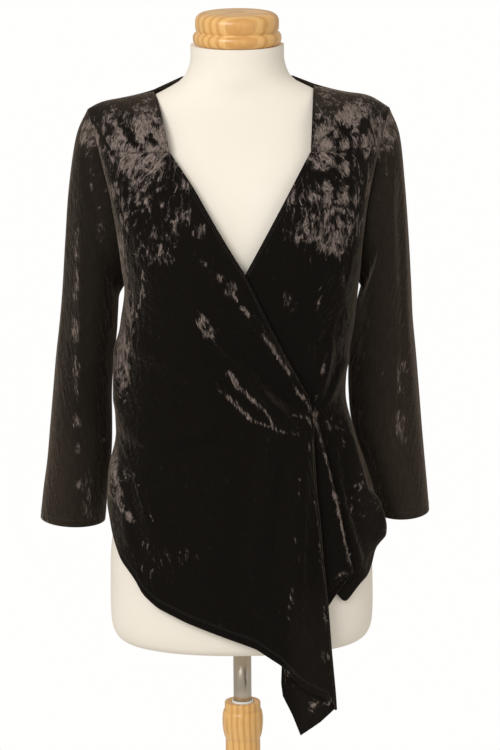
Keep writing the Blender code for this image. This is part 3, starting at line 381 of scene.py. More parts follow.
# Turned pieces, top to bottom.
POLE_RADIUS = 0.0117
GUARD_RADIUS = 0.0138
GUARD_TOP = -0.0830
POST_BORE_RADIUS = 0.0145
POST_BORE_DEPTH = 0.050
POST_STEPS = table(Step, (
    (20.5, -85), (22.8, -85.5), (23.3, -86.8), (23.3, -95), (23.1, -96), (24.6, -96.6), (25.5, -99),
    (26.2, -104), (26.5, -110), (26.4, -115), (25.8, -122), (24.8, -128), (23.8, -131.8), (22.6, -134),
    (22.4, -136), (22.6, -138),
))
POST_FOOT_RADIUS = 0.0226
BASE_RADIUS = 0.150
BASE_THICKNESS = 0.024
BASE_EDGE = 0.006
BASE_FOOT_EDGE = 0.0008
SOFT_EDGE = 0.0006
SOFT_INSIDE = 0.4
CAP_STEPS = table(Step, (
    (0, 40.5), (25, 40.3), (40, 39.5), (44.5, 38.6), (47.5, 37), (50, 34.8), (51.5, 32), (52, 29),
    (52, 21), (51.5, 18.5), (50.2, 16.8), (50.5, 15.5), (52.8, 14.3), (54.4, 12), (55, 9.5), (55, 6.5),
    (54.4, 3.5), (52.8, 1.5), (51, 0.2), (0, 0),
))
CAP_HEIGHT = 0.7640
SLEEVE_NODES = ("sleeve_right", "sleeve_left")

# How each piece of pine lies across its growth rings, and its turns in degrees.
PINES = {
    "Pine of the cap": ((0.02, 0.0, 0.02), (0.0, 80.0, 0.0)),
    "Pine of the post": ((0.012, 0.02, 0.0), (4.0, 3.0, 0.0)),
    "Pine of the base": ((0.10, 0.0, 0.03), (0.0, 84.0, 20.0)),
}
PAPER_WHITE = (1.0, 0.995, 0.985, 1.0)
LIGHT_AIM = Vector((0.0, 0.0, 1.30))
CAMERA_PLACE = (0.0128, -3.2, 1.757)


def eased(t):
    """0 to 1 with a soft start and end."""
    t = np.clip(t, 0.0, 1.0)
    return t * t * (3.0 - 2.0 * t)


def smooth_through(keys, values, at):
    """Values at places on a smooth curve through rising keys."""
    keys, values = np.asarray(keys, float), np.asarray(values, float)
    last = len(keys) - 1
    at = np.clip(at, keys[0], keys[-1])
    i = np.clip(np.searchsorted(keys, at, side="right") - 1, 0, last - 1)
    low, high = np.maximum(np.arange(last + 1) - 1, 0), np.minimum(np.arange(last + 1) + 1, last)
    slopes = (values[high] - values[low]) / (keys[high] - keys[low])
    step = keys[i + 1] - keys[i]
    t = (at - keys[i]) / step
    start, end, rise = slopes[i] * step, slopes[i + 1] * step, values[i + 1] - values[i]
    return values[i] + t * (start + t * ((3 * rise - 2 * start - end) + t * (start + end - 2 * rise)))


def straight_through(rows, at, soften=0.0):
    """Second values of a table at its first, with its corners rounded over a width."""
    keys, values = np.array([row[0] for row in rows]), np.array([row[1] for row in rows])
    if not soften:
        return np.interp(at, keys, values)
    offsets = np.linspace(-soften, soften, 7)
    return sum(np.interp(at + offset, keys, values) for offset in offsets) / len(offsets)


def along(points, share):
    """Points at shares of the way along a table's points, counted by its rows."""
    places = np.arange(len(points)) / (len(points) - 1)
    return np.interp(share, places, [p[0] for p in points]), np.interp(share, places, [p[1] for p in points])


def level(sections, height):
    """Sections between those of a table, at heights."""
    keys, *columns = zip(*sections)
    return Section(height, *(smooth_through(keys, values, height) for values in columns))


def ring_point(section, angle, out=0.0):
    """Points of sections at angles in degrees from centre front, towards the wearer's left."""
    side, ahead = np.sin(np.radians(angle)), np.cos(np.radians(angle))
    reach = np.where(side < 0, section.left, section.right) + out
    depth = np.where(ahead > 0, section.front, section.back) + out
    spread = (np.abs(side) / reach) ** section.square + (np.abs(ahead) / depth) ** section.square
    radius = spread ** (-1.0 / section.square)
    return radius * side, -radius * ahead


def angle_at(x, height, out=0.0):
    """Angles of the front's points at an x, on the body or at a distance out from it."""
    section = level(BODY, height)
    reach = np.where(x < 0, section.left, section.right) + out
    share = np.minimum(np.abs(x) / reach, 0.9999)
    depth = (section.front + out) * (1.0 - share**section.square) ** (1.0 / section.square)
    return np.degrees(np.arctan2(x, depth))


def beside(line, x, height):
    """Shares of the way along a line, and distances from it, of points seen from the front."""
    run, fall = line.x2 - line.x1, line.height2 - line.height1
    length = math.hypot(run, fall)
    dx, dh = x - line.x1, height - line.height1
    return (dx * run + dh * fall) / length**2, (dx * fall - dh * run) / length


def fold_rise(folds, x, height):
    """How far the folds of a table lift the cloth at points seen from the front."""
    total = np.zeros(np.broadcast(x, height).shape)
    for fold in folds:
        t, aside = beside(fold, x, height)
        aside = aside - fold.bow * 4.0 * t * (1.0 - t)
        ends = eased((t + 0.15) / 0.35) * eased((1.15 - t) / 0.30)
        total += fold.rise * ends * np.exp(-((aside / fold.width) ** 2))
    return total


def gather_rise(side, x, drop):
    """Ripple of the uneven gathers at a drop below the yoke seam."""
    total = np.zeros(np.broadcast(x, drop).shape)
    fallen = np.maximum(drop, 0.0)
    for gather in GATHERS[side]:
        below = (1.0 - np.exp(-fallen / GATHER_START)) * np.exp(-((drop / gather.drop) ** 2))
        spread = gather.width * (1.0 + fallen / GATHER_SPREAD)
        total += gather.rise * below * np.exp(-(((x - gather.x) / spread) ** 2))
    return total


def crush_and_highlight_amount(patches, lines, x, height):
    """Share of crushed pile and painted highlight at points seen from the front; lines above zero add
    painted highlight, lines below zero take it away again as painted shade.
    """
    total = np.zeros(np.broadcast(x, height).shape)
    for patch in patches:
        reach = ((x - patch.x) / patch.wide) ** 2 + ((height - patch.height) / patch.tall) ** 2
        total = np.maximum(total, patch.strength * np.exp(-0.55 * reach**1.5))
    for line in lines:
        t, aside = beside(line, x, height)
        ends = eased((t + 0.10) / 0.20) * eased((1.10 - t) / 0.20)
        share = line.strength * ends * np.exp(-((aside / line.width) ** 2))
        total = np.maximum(total, share) if line.strength > 0.0 else total * (1.0 + share)
    return total


def hold(away, share):
    """1 at an edge, falling softly to 0 at a share of the way from it."""
    return np.maximum(0.0, 1.0 - away / share) ** 2


def body_point(angle, height, out):
    x, y = ring_point(level(BODY, height), angle, out)
    return np.array([x, y, height + 0.0 * x])


def armhole_point(side, turn):
    """Points of an armhole's edge: 0 at the shoulder, 90 in front, 180 at the underarm, 270 behind."""
    hole = ARMHOLES[side]
    up, ahead = np.cos(np.radians(turn)), np.sin(np.radians(turn))
    share = (1.0 + up) / 2.0
    reach_x = np.where(ahead > 0, hole.front_x, hole.back_x)
    reach_y = np.where(ahead > 0, hole.front_y, hole.back_y)
    x = hole.foot_x + (hole.top_x - hole.foot_x) * share
    x = x + (reach_x - (hole.top_x + hole.foot_x) / 2.0) * ahead**2
    y = hole.middle_y + (reach_y - hole.middle_y) * np.abs(ahead)
    return np.array([x, y, hole.foot_height + (hole.top_height - hole.foot_height) * share])


def armhole_turn(side, height, behind=False):
    """Turns of an armhole's points at heights."""
    hole = ARMHOLES[side]
    share = (height - hole.foot_height) / (hole.top_height - hole.foot_height)
    turn = np.degrees(np.arccos(np.clip(2.0 * share - 1.0, -1.0, 1.0)))
    return 360.0 - turn if behind else turn


def side_pull(side, height, behind=False):
    """How far a panel's side is drawn from the plain body to the armhole's edge."""
    start = ARMHOLES[side].foot_height
    edge = armhole_point(side, armhole_turn(side, np.maximum(height, start), behind))
    plain = body_point(side * SIDE_ANGLE, height, 0.0)
    return (edge - plain) * eased((height - start) / ARMHOLE_RUN) * (height > start)


def crossing(place, boundary, low, high, soften):
    """Heights at which columns, given by their x at a height, meet a boundary."""
    low, high = np.array(low), np.array(high)
    for _ in range(32):
        middle = (low + high) / 2.0
        below = middle < straight_through(boundary, place(middle), soften)
        low, high = np.where(below, middle, low), np.where(below, high, middle)
    return (low + high) / 2.0


def overlap_lift(x, height):
    """Distance of the overlapping front from the body below it."""
    crossed, raised = (
        eased((lift.height - height) / lift.drop) * eased((x - lift.x) / lift.run)
        for lift in (CROSSED, RAISED)
    )
    return OVERLAP_LIFT * crossed + (TAIL_LIFT - OVERLAP_LIFT) * raised


def front_column(side, share, height):
    """Angles of a front panel's column: share 0 on the side seam, 1 on its free edge."""
    if side < 0:
        edge = angle_at(straight_through(TAIL_FOLD, height, EDGE_SOFTNESS), height, TAIL_LIFT)
    else:
        edge = angle_at(UNDERLAP_EDGE_X, height)
    return side * SIDE_ANGLE * (1.0 - share) + edge * share


def front_span(side, share):
    """Lowest and highest point of a front panel's columns."""
    top, hem = (OVERLAP_TOP, OVERLAP_HEM) if side < 0 else (UNDERLAP_TOP, UNDERLAP_HEM)

    def place(height):
        return body_point(front_column(side, share, height), height, 0.0)[0]

    shape = np.zeros(np.shape(share))
    highest = crossing(place, top, shape + 0.15, shape + 0.70, TOP_SOFTNESS) + SEAM_GAP
    return crossing(place, hem, shape - 0.10, shape + 0.30, HEM_SOFTNESS), highest


def front_point(side, share, rise):
    """Points of a front panel's outside: rise 0 on the hem and 1 on the yoke seam or neck edge."""
    lowest, highest = front_span(side, share)
    height = lowest + (highest - lowest) * rise
    angle = front_column(side, share, height)
    x = body_point(angle, height, 0.0)[0]
    drop = YOKE_HEIGHT - height
    gathered = eased((side * x - GATHERS_FROM[side]) / GATHERS_RUN)
    if side < 0:
        out = overlap_lift(x, height) + fold_rise(OVERLAP_FOLDS + OVERLAP_CREASES, x, height)
    else:
        out = fold_rise(UNDERLAP_FOLDS + UNDERLAP_CREASES, x, height)
    out = out + gathered * gather_rise(side, x, drop)
    out = out - SEAM_PULL * gathered * np.exp(-np.maximum(drop, 0.0) / SEAM_PULL_DROP)
    free = eased(share / FRONT_STILL_SHARE)
    return body_point(angle, height, out * free) + side_pull(side, height) * hold(share, PANEL_HOLD_SHARE)


def turned_back_point(fold, hem, outer_share, share, rise, lift, radius, top):
    """Points past a folded edge: the turn itself up to outer_share, and then the layer that runs back."""
    bend = math.pi * np.minimum(share / outer_share, 1.0)
    across = np.clip((share - outer_share) / (1.0 - outer_share), 0.0, 1.0)
    foot_x, foot_height = along(hem, across)
    height = foot_height + (top - foot_height) * rise
    edge = straight_through(fold, height, EDGE_SOFTNESS)
    narrow = radius * (TURN_NARROWING + (1.0 - TURN_NARROWING) * eased((top - height) / TURN_NARROWING_RUN))
    turned_x = edge + narrow * np.sin(bend)
    fall = (foot_x - straight_through(fold, foot_height)) * (1.0 - rise) ** RETURN_SPREAD
    run_x = edge - KNOT_TUCK * across * rise + fall
    x = np.where(share < outer_share, turned_x, run_x)
    back = lift(x, height) - np.where(share < outer_share, narrow * (1.0 - np.cos(bend)), 2.0 * narrow)
    back = back - RETURN_SINK * across
    return body_point(angle_at(x, height, back), height, back)


def overlap_point(column, rise):
    """Points of the whole overlapping front: columns past 1 turn under the tail's fold."""
    flat = front_point(-1, np.minimum(column, 1.0), rise)
    share = np.maximum(column - 1.0, 0.0)
    turned = turned_back_point(
        TAIL_FOLD, TAIL_RETURN, TAIL_TURN_SHARE, share, rise, overlap_lift, TAIL_TURN_RADIUS, KNOT_HEIGHT
    )
    return np.where(column <= 1.0, flat, turned)


def tier_lift(x, height):
    """Distance of the second fold from the body, close to the underlap where it is sewn at the knot."""
    fallen = eased((KNOT_HEIGHT - height) / 0.080)
    lifted = fold_rise(UNDERLAP_FOLDS, x, height)
    return TIER_TOP_LIFT + (TIER_LIFT - TIER_TOP_LIFT) * fallen + lifted


def tier_point(column, rise):
    """Points of the second fold beside the tail."""
    top = KNOT_HEIGHT - TIER_TOP_GAP
    share = np.minimum(column, 1.0)
    foot_x, foot_height = along(TIER_HEM, share)
    height = foot_height + (top - foot_height) * rise
    edge = straight_through(TIER_FOLD, height, EDGE_SOFTNESS)
    width = (straight_through(TIER_FOLD, foot_height) - foot_x) * (1.0 - rise) ** TIER_SPREAD
    x = edge - width - TIER_TUCK * (1.0 - share) * rise
    out = tier_lift(x, height) + TIER_BOW * np.sin(math.pi * share)
    flat = body_point(angle_at(x, height, out), height, out)
    share = np.maximum(column - 1.0, 0.0)
    turned = turned_back_point(
        TIER_FOLD, TIER_RETURN, TIER_TURN_SHARE, share, rise, tier_lift, TIER_TURN_RADIUS, top
    )
    return np.where(column <= 1.0, flat, turned)


def arched(start, end, share):
    """Points on quarter ovals that leave their start upwards and arrive at their end level."""
    quarter = np.radians(90.0 * share)
    x = start[0] + (end[0] - start[0]) * share
    y = end[1] + (start[1] - end[1]) * np.cos(quarter)
    return np.array([x, y, start[2] + (end[2] - start[2]) * np.sin(quarter)])


def edge_bow(side, turn, share):
    """How far an armhole's edge bows from a plain arch between one of its points and the shoulder."""
    last = 0.0 if turn < 180.0 else 360.0
    tip = armhole_point(side, np.zeros(np.shape(share)))
    start = armhole_point(side, np.full(np.shape(share), turn))
    return armhole_point(side, turn + (last - turn) * share) - arched(start, tip, share)


def shoulder_seam(side, across):
    """X and height of a shoulder seam: across 0 at the neck and 1 at the armhole."""
    neck_x, neck_height = NECK_POINTS[side]
    tip = armhole_point(side, 0.0)
    crown = SHOULDER_CROWN * np.sin(math.pi * across)
    return neck_x + (tip[0] - neck_x) * across, neck_height + (tip[2] - neck_height) * across + crown


def yoke_point(side, across, rise):
    """Points of a front yoke: across 0 at the neck and 1 at the armhole, rise 0 on the seam below."""
    low = YOKE_HEIGHT - SEAM_GAP
    first, last = front_column(side, 0.0, low), front_column(side, 1.0, low)
    neck_share = (angle_at(YOKE_CORNERS[side], low) - first) / (last - first)
    share = neck_share * (1.0 - across)
    heights = np.full(np.shape(share), low)
    start = body_point(front_column(side, share, heights), heights, 0.0)
    start = start + side_pull(side, heights) * hold(share, PANEL_HOLD_SHARE)
    seam_x, seam_height = shoulder_seam(side, across)
    end = np.array([seam_x, SHOULDER_SEAM_Y + 0.0 * seam_x, seam_height])
    bow = edge_bow(side, float(armhole_turn(side, low)), rise)
    return arched(start, end, rise) + bow * hold(1.0 - across, YOKE_HOLD_SHARE)


def back_top(across):
    """Points of the back's upper edge: across -1 and 1 at the shoulder tips and 0 at the centre back."""
    share = np.abs(across)
    sign = np.where(across < 0, -1.0, 1.0)
    along_seam = np.clip((share - BACK_NECK_SHARE) / (1.0 - BACK_NECK_SHARE), 0.0, 1.0)
    left_x, left_height = shoulder_seam(-1, along_seam)
    right_x, right_height = shoulder_seam(1, along_seam)
    seam_x = np.where(across < 0, left_x, right_x)
    seam_height = np.where(across < 0, left_height, right_height)
    seam_height = seam_height + BACK_NECK_STAND * hold(along_seam, BACK_STAND_SHARE)
    neck_x = np.where(across < 0, NECK_POINTS[-1][0], NECK_POINTS[1][0])
    neck_height = np.where(across < 0, NECK_POINTS[-1][1], NECK_POINTS[1][1])
    t = np.clip((share - BACK_CURVE_SHARE) / (BACK_NECK_SHARE - BACK_CURVE_SHARE), 0.0, 1.0)
    side_x = sign * BACK_NECK_SIDE_X
    slope_x = side_x + (neck_x - side_x) * t
    slope_y = BACK_NECK_SIDE_Y + (SHOULDER_SEAM_Y - BACK_NECK_SIDE_Y) * t
    stand = BACK_NECK_STAND * t
    slope_height = BACK_NECK_HEIGHT + (neck_height - BACK_NECK_HEIGHT) * t + stand
    u = np.clip(share / BACK_CURVE_SHARE, 0.0, 1.0)
    curve_y = BACK_NECK_SIDE_Y + (BACK_NECK_Y - BACK_NECK_SIDE_Y) * np.cos(u * math.pi / 2.0)
    seam, curve = share > BACK_NECK_SHARE, share <= BACK_CURVE_SHARE
    x = np.where(seam, seam_x, np.where(curve, side_x * u, slope_x))
    y = np.where(seam, SHOULDER_SEAM_Y, np.where(curve, curve_y, slope_y))
    return np.array([x, y, np.where(seam, seam_height, np.where(curve, BACK_NECK_HEIGHT, slope_height))])


def back_point(across, rise):
    """Points of the back: across -1 on the wearer's right side, 1 on the left, rise 0 on the hem."""
    angle = 180.0 - across * (180.0 - SIDE_ANGLE + BACK_OVERRUN)
    inward = 1.0 - np.abs(across)
    held = hold(inward, PANEL_HOLD_SHARE)

    def lower(height):
        x = body_point(angle, height, 0.0)[0]
        out = fold_rise(BACK_FOLDS + BACK_CREASES, x, height) * eased(inward / BACK_FREE_SHARE)
        pull = np.where(across < 0, side_pull(-1, height, True), side_pull(1, height, True))
        return body_point(angle, height, out) + pull * held

    hem = straight_through(BACK_HEM, angle, BACK_HEM_SOFTNESS)
    split = np.full(np.shape(across), YOKE_HEIGHT)
    low = lower(hem + (YOKE_HEIGHT - hem) * np.minimum(rise, BACK_SPLIT) / BACK_SPLIT)
    share = np.maximum(rise - BACK_SPLIT, 0.0) / (1.0 - BACK_SPLIT)
    high = arched(lower(split), back_top(across), share)
    for side in (-1, 1):
        turn = float(armhole_turn(side, YOKE_HEIGHT, behind=True))
        high = high + edge_bow(side, turn, share) * held * (across * side > 0)
    return np.where(rise <= BACK_SPLIT, low, high)


def sleeve_point(side, around, rise):
    """Points of a sleeve: around 0 to 1 from the underarm over the back to the front, rise 0 at the cuff."""
    turn = 180.0 + 360.0 * around * (1 if side < 0 else -1)
    share, ahead = (1.0 + np.cos(np.radians(turn))) / 2.0, np.sin(np.radians(turn))
    x, y, height = armhole_point(side, np.mod(turn, 360.0))
    rings = [np.array([x + side * SLEEVE_SEAM_X, y, height])]
    for row in SLEEVES[side]:
        x = row.inner_x + (row.outer_x - row.inner_x) * share
        height = row.inner_height + (row.outer_height - row.inner_height) * share
        rings.append(np.array([x, row.middle_y - row.depth * ahead, height]))
    rings, last = np.array(rings), len(rings) - 1
    place = (1.0 - rise) * last
    i = np.clip(np.floor(place).astype(int), 0, last - 1)
    t = place - i
    picked = [
        np.take_along_axis(rings, np.clip(i + n, 0, last)[None, None], 0)[0] for n in (-1, 0, 1, 2)
    ]
    before = np.where(i > 0, (picked[2] - picked[0]) / 2.0, picked[2] - picked[1])
    after = np.where(i < last - 1, (picked[3] - picked[1]) / 2.0, picked[2] - picked[1])
    gap = picked[2] - picked[1]
    return picked[1] + t * (before + t * ((3 * gap - 2 * before - after) + t * (before + after - 2 * gap)))


def filled(points):
    """Points moved out by the fullness of the shoulders and of the armholes' fronts."""
    x, y, height = points
    upper = eased((height - SHOULDER_FULL_FROM) / SHOULDER_FULL_RUN)
    ahead = eased(-y / 0.020) * eased((0.672 - height) / 0.030) * eased((height - 0.490) / 0.060)
    rise, push = np.zeros_like(x), np.zeros_like(x)
    for side in (-1, 1):
        own = x * side > 0
        full = SHOULDER_FULLNESS[side]
        rise += own * full.rise * np.exp(-(((np.abs(x) - full.middle_x) / full.width) ** 2))
        edge = armhole_point(side, armhole_turn(side, height))[0]
        push += own * ARMHOLE_FULLNESS * np.exp(-(((x - edge) / ARMHOLE_FULL_WIDTH) ** 2))
    return np.array([x, y - push * ahead, height + rise * upper])


class Level:
    """Output of a shader node, with sums that add Math nodes."""

    def __init__(self, finish, socket):
        self.finish = finish
        self.socket = socket

    def sum_of(self, operation, first, second=0.0):
        return self.finish.node("ShaderNodeMath", {"operation": operation}, {0: first, 1: second})

    def __add__(self, other):
        return self.sum_of("ADD", self, other)

    def __sub__(self, other):
        return self.sum_of("SUBTRACT", self, other)

    def __mul__(self, other):
        return self.sum_of("MULTIPLY", self, other)

    def __abs__(self):
        return self.sum_of("ABSOLUTE", self)

    def __rsub__(self, other):
        return self.sum_of("SUBTRACT", other, self)

    __radd__ = __add__
    __rmul__ = __mul__


class Finish:
    """Material whose nodes are added one by one."""

    def __init__(self, name):
        self.material = bpy.data.materials.new(name)
        self.material.use_nodes = True
        self.tree = self.material.node_tree
        self.shader = self.tree.nodes["Principled BSDF"]

    def node(self, kind, settings=None, inputs=None, output=0):
        made = self.tree.nodes.new(kind)
        for key, value in (settings or {}).items():
            setattr(made, key, value)
        self.connect(made, inputs or {})
        return Level(self, made.outputs[output])

    def connect(self, node, inputs):
        for key, value in inputs.items():
            socket = node.inputs[key]
            if isinstance(value, Level):
                self.tree.links.new(value.socket, socket)
            elif hasattr(value, "__len__") and len(socket.default_value) == 4:
                socket.default_value = (*tuple(value)[:3], 1.0)
            else:
                socket.default_value = value

    def mix(self, share, first, second):
        return self.node("ShaderNodeMix", {"data_type": "RGBA"}, {0: share, 6: first, 7: second}, 2)

    def place(self):
        return self.node("ShaderNodeTexCoord", output="Object")

    def attribute(self, name, output="Fac"):
        return self.node("ShaderNodeAttribute", {"attribute_name": name}, output=output)

    def vector(self, operation, first, second):
        return self.node("ShaderNodeVectorMath", {"operation": operation}, {0: first, 1: second})

    def stretched(self, place, *scale):
        return self.vector("MULTIPLY", place, scale)

    def noise(self, place, scale, detail=2.0, distortion=0.0, output=0):
        inputs = {"Vector": place, "Scale": scale, "Detail": detail, "Distortion": distortion}
        return self.node("ShaderNodeTexNoise", {}, inputs, output)

    def ramp(self, value, low, high):
        settings = {"interpolation_type": "SMOOTHSTEP"}
        return self.node("ShaderNodeMapRange", settings, {"Value": value, "From Min": low, "From Max": high})

    def bump(self, height, distance, strength=1.0):
        inputs = {"Height": height, "Distance": distance, "Strength": strength}
        return self.node("ShaderNodeBump", {}, inputs)

    def surface(self, **inputs):
        names = {key.replace("_", " ").title().replace("Ior", "IOR"): value for key, value in inputs.items()}
        self.connect(self.shader, names)
        return self.material


def velvet_finish(settings):
    """Black velvet whose pile is crushed in streaks and patches, with painted highlight and painted sheen in
    its colour.
    """
    made = Finish("Crushed black velvet")
    cloth = made.attribute("Cloth", "Vector")
    crush_and_highlight = made.attribute("Crush and highlight")
    drift = made.noise(cloth, 70.0, 1.0, output="Color")
    offset = made.vector("SUBTRACT", drift, (0.5, 0.5, 0.5))
    place = made.vector("ADD", cloth, made.stretched(offset, 0.010, 0.010, 0.010))
    holes = made.noise(made.stretched(place, 1.0, 0.60, 1.0), 125.0, 2.0, 0.4) - 0.5
    strands = made.noise(made.stretched(place, 1.0, 0.22, 1.0), 520.0, 2.0, 0.6) - 0.5
    nap = made.noise(made.stretched(place, 1.0, 0.5, 1.0), 1300.0, 1.0) - 0.5
    vein = 1.0 - abs(made.noise(made.stretched(place, 1.0, 0.50, 1.0), 150.0, 2.0, 0.8) - 0.5) * 14.0
    gate = made.ramp(crush_and_highlight, 0.0, 0.20) * 0.60 + 0.40
    # Share of crushed pile with painted highlight, broken into holes and strands.
    laid = made.ramp(crush_and_highlight * 0.98 + (holes * 2.6 + strands * 1.1) * gate, 0.30, 1.45)
    thread = made.ramp(vein + strands, 0.1, 1.2) * made.ramp(crush_and_highlight + holes * 1.6, 0.10, 0.75) * 0.55
    faint = made.ramp(holes + strands * 0.6, 0.10, 0.42) * 0.03
    crush_and_highlight_share = made.ramp(laid + thread + faint, 0.0, 1.05)
    shade = made.mix(made.ramp(nap, -0.3, 0.3), settings.velvet_shadow, settings.velvet_pile)
    # Painted sheen: the placed share lifts the pile to a paler brown where the light falls.
    towards = made.attribute("Painted sheen")
    streak = made.noise(made.stretched(place, 1.0, 0.30, 1.0), 240.0, 2.0)
    painted_sheen_share = towards * (0.58 + made.ramp(streak, 0.30, 0.70) * 0.28) + nap * 0.15
    shade = made.mix(painted_sheen_share, shade, settings.velvet_painted_sheen)
    gleam = made.ramp(nap + strands * 1.2, -0.30, 0.35)
    # Colour of crushed pile, which is also the colour of the painted highlights.
    shine = made.mix(gleam, settings.velvet_crushed_and_highlight, settings.velvet_bright_highlight)
    relief = made.bump(strands * 0.9 + nap * 0.6 - crush_and_highlight_share, 0.0008)
    return made.surface(
        base_color=made.mix(crush_and_highlight_share, shade, shine),
        roughness=0.90 - crush_and_highlight_share * 0.36,
        specular_ior_level=0.10,
        sheen_weight=settings.velvet_sheen,
        sheen_roughness=0.22,
        sheen_tint=(0.88, 0.72, 0.58),
        normal=relief,
    )


def thread_finish(settings):
    """Black sewing thread."""
    made = Finish("Black thread")
    place = made.place()
    twist = made.noise(place, 1800.0, 2.0)
    return made.surface(
        base_color=made.mix(twist, (0.012, 0.011, 0.010), settings.thread_light),
        roughness=0.45 + twist * 0.2,
        specular_ior_level=0.5,
        normal=made.bump(twist, 0.0002),
    )


def jersey_finish(settings):
    """Fine cream jersey, stretched smooth."""
    made = Finish("Cream jersey")
    place = made.place()
    mottle = made.noise(place, 9.0, 3.0, 0.3)
    knit = made.node(
        "ShaderNodeTexWave",
        {"bands_direction": "Z"},
        {"Vector": place, "Scale": 380.0, "Distortion": 3.0, "Detail": 1.0, "Detail Scale": 2.0},
        "Fac",
    )
    rib = made.noise(made.stretched(place, 1.0, 1.0, 0.35), 1500.0, 1.0)
    tone = made.mix(made.ramp(mottle, 0.3, 0.7), settings.jersey_shade, settings.jersey_colour)
    return made.surface(
        base_color=made.mix(knit * 0.10 + rib * 0.10, tone, (0.66, 0.58, 0.47)),
        roughness=0.82 + rib * 0.1,
        specular_ior_level=0.25,
        sheen_weight=0.12,
        sheen_roughness=0.5,
        sheen_tint=(1.0, 0.97, 0.92),
        normal=made.bump(knit * 0.5 + rib, 0.00015, 0.6),
    )


def pine_finish(settings, name, across, tilt):
    """Varnished pine whose growth rings meet the turned surface as stripes and ovals."""
    made = Finish(name)
    place = made.place()
    inputs = {"Vector": place, "Location": across, "Rotation": tilt, "Scale": (1.0, 1.0, 0.18)}
    turned = made.node("ShaderNodeMapping", {}, inputs)
    drift = made.noise(turned, 14.0, output="Color")
    warped = made.vector("ADD", turned, made.stretched(drift, 0.012, 0.012, 0.012))
    rings = made.node(
        "ShaderNodeTexWave",
        {"wave_type": "RINGS", "rings_direction": "Z"},
        {"Vector": warped, "Scale": 42.0, "Distortion": 1.6, "Detail": 2.0, "Detail Scale": 1.5},
        "Fac",
    )
    grain = made.noise(made.stretched(place, 1.0, 1.0, 0.06), 900.0, 3.0, 0.3)
    broad = made.noise(place, 26.0, 2.0)
    late = made.ramp(rings, 0.35, 0.95)
    tone = made.mix(late * 0.75, settings.pine_early, settings.pine_late)
    tone = made.mix(made.ramp(grain, 0.45, 0.8) * 0.28, tone, (0.36, 0.15, 0.035))
    return made.surface(
        base_color=made.mix(made.ramp(broad, 0.4, 0.8) * 0.25, tone, (0.80, 0.46, 0.17)),
        roughness=0.34 + grain * 0.10,
        specular_ior_level=0.5,
        coat_weight=0.35,
        coat_roughness=0.28,
        normal=made.bump(grain * 0.5 + late * 0.5, 0.00012, 0.5),
    )


def steel_finish(settings):
    """Steel tube, brushed along its length."""
    made = Finish("Brushed steel")
    place = made.place()
    brushed = made.noise(made.stretched(place, 1.0, 1.0, 0.012), 1500.0, 2.0)
    smear = made.noise(place, 60.0, 2.0)
    return made.surface(
        base_color=made.mix(brushed, settings.steel_colour, (0.62, 0.56, 0.47)),
        roughness=0.24 + brushed * 0.14 + made.ramp(smear, 0.5, 0.8) * 0.08,
        metallic=1.0,
        normal=made.bump(brushed, 0.00005, 0.6),
    )


def plastic_finish(settings):
    """White moulded plastic."""
    made = Finish("White plastic")
    place = made.place()
    grain = made.noise(place, 1400.0, 2.0)
    soil = made.noise(place, 70.0, 3.0)
    return made.surface(
        base_color=made.mix(made.ramp(soil, 0.5, 0.8) * 0.4, settings.plastic_colour, (0.66, 0.66, 0.62)),
        roughness=0.36 + soil * 0.12,
        specular_ior_level=0.5,
        normal=made.bump(grain, 0.00004, 0.5),
    )


def even(count, low=0.0, high=1.0):
    return np.linspace(low, high, count + 1)


def grid_normals(points):
    """Unit normals of a grid of points, from its own columns and rows."""
    across = np.gradient(points, axis=1)
    up = np.gradient(points, axis=2)
    normal = np.cross(across, up, axis=0)
    return normal / np.maximum(np.linalg.norm(normal, axis=0), 1e-12)


def grid_object(name, points, flipped, material):
    """Object from a grid of points, as an open surface."""
    columns, rows = points.shape[1:]
    verts = points.reshape(3, -1).T + np.array([0.0, 0.0, FORM_BASE])
    i, j = np.meshgrid(np.arange(columns - 1), np.arange(rows - 1), indexing="ij")
    a = (i * rows + j).ravel()
    faces = np.stack([a, a + rows, a + rows + 1, a + 1], axis=1)
    if flipped:
        faces = faces[:, ::-1]
    mesh = bpy.data.meshes.new(name)
    mesh.from_pydata(verts.tolist(), [], faces.tolist())
    mesh.shade_smooth()
    made = bpy.data.objects.new(name, mesh)
    bpy.context.scene.collection.objects.link(made)
    mesh.materials.append(material)
    return made


def creased_sleeve_point(side, around, rise):
    """Grid of a sleeve's points, moved out and in by its creases."""
    plain = sleeve_point(side, around, rise)
    free = eased((1.0 - rise) / STEADY_SLEEVE_SHARE)
    out = fold_rise(SLEEVE_CREASES, around * CREASED_SLEEVE_WIDTH, plain[2]) * free
    return plain + grid_normals(plain) * out


def painted_sheen_amount(points, sleeve):
    """Share of painted sheen: paler, browner pile where the light falls, on shoulder tops, sides and
    sleeves.
    """
    x, y, height = points
    if not sleeve:
        top = eased((height - 0.668) / 0.030) * 0.95
        sides = eased((np.abs(x) - 0.128) / 0.040) * 0.26
        fallen = eased((0.130 - height) / 0.100) * eased((x - 0.050) / 0.030) * 0.22
        return np.maximum(np.maximum(top, sides), fallen)
    cuff = eased((0.330 - height) / 0.120) * 0.30
    outer = eased((np.abs(x) - 0.205) / 0.030) * 0.30
    top = eased((height - 0.620) / 0.040) * 0.55
    base = np.where(x < 0, 0.42, 0.46 + 0.44 * eased((x - 0.160) / 0.050))
    return np.minimum(base + cuff + outer + top, 1.0)


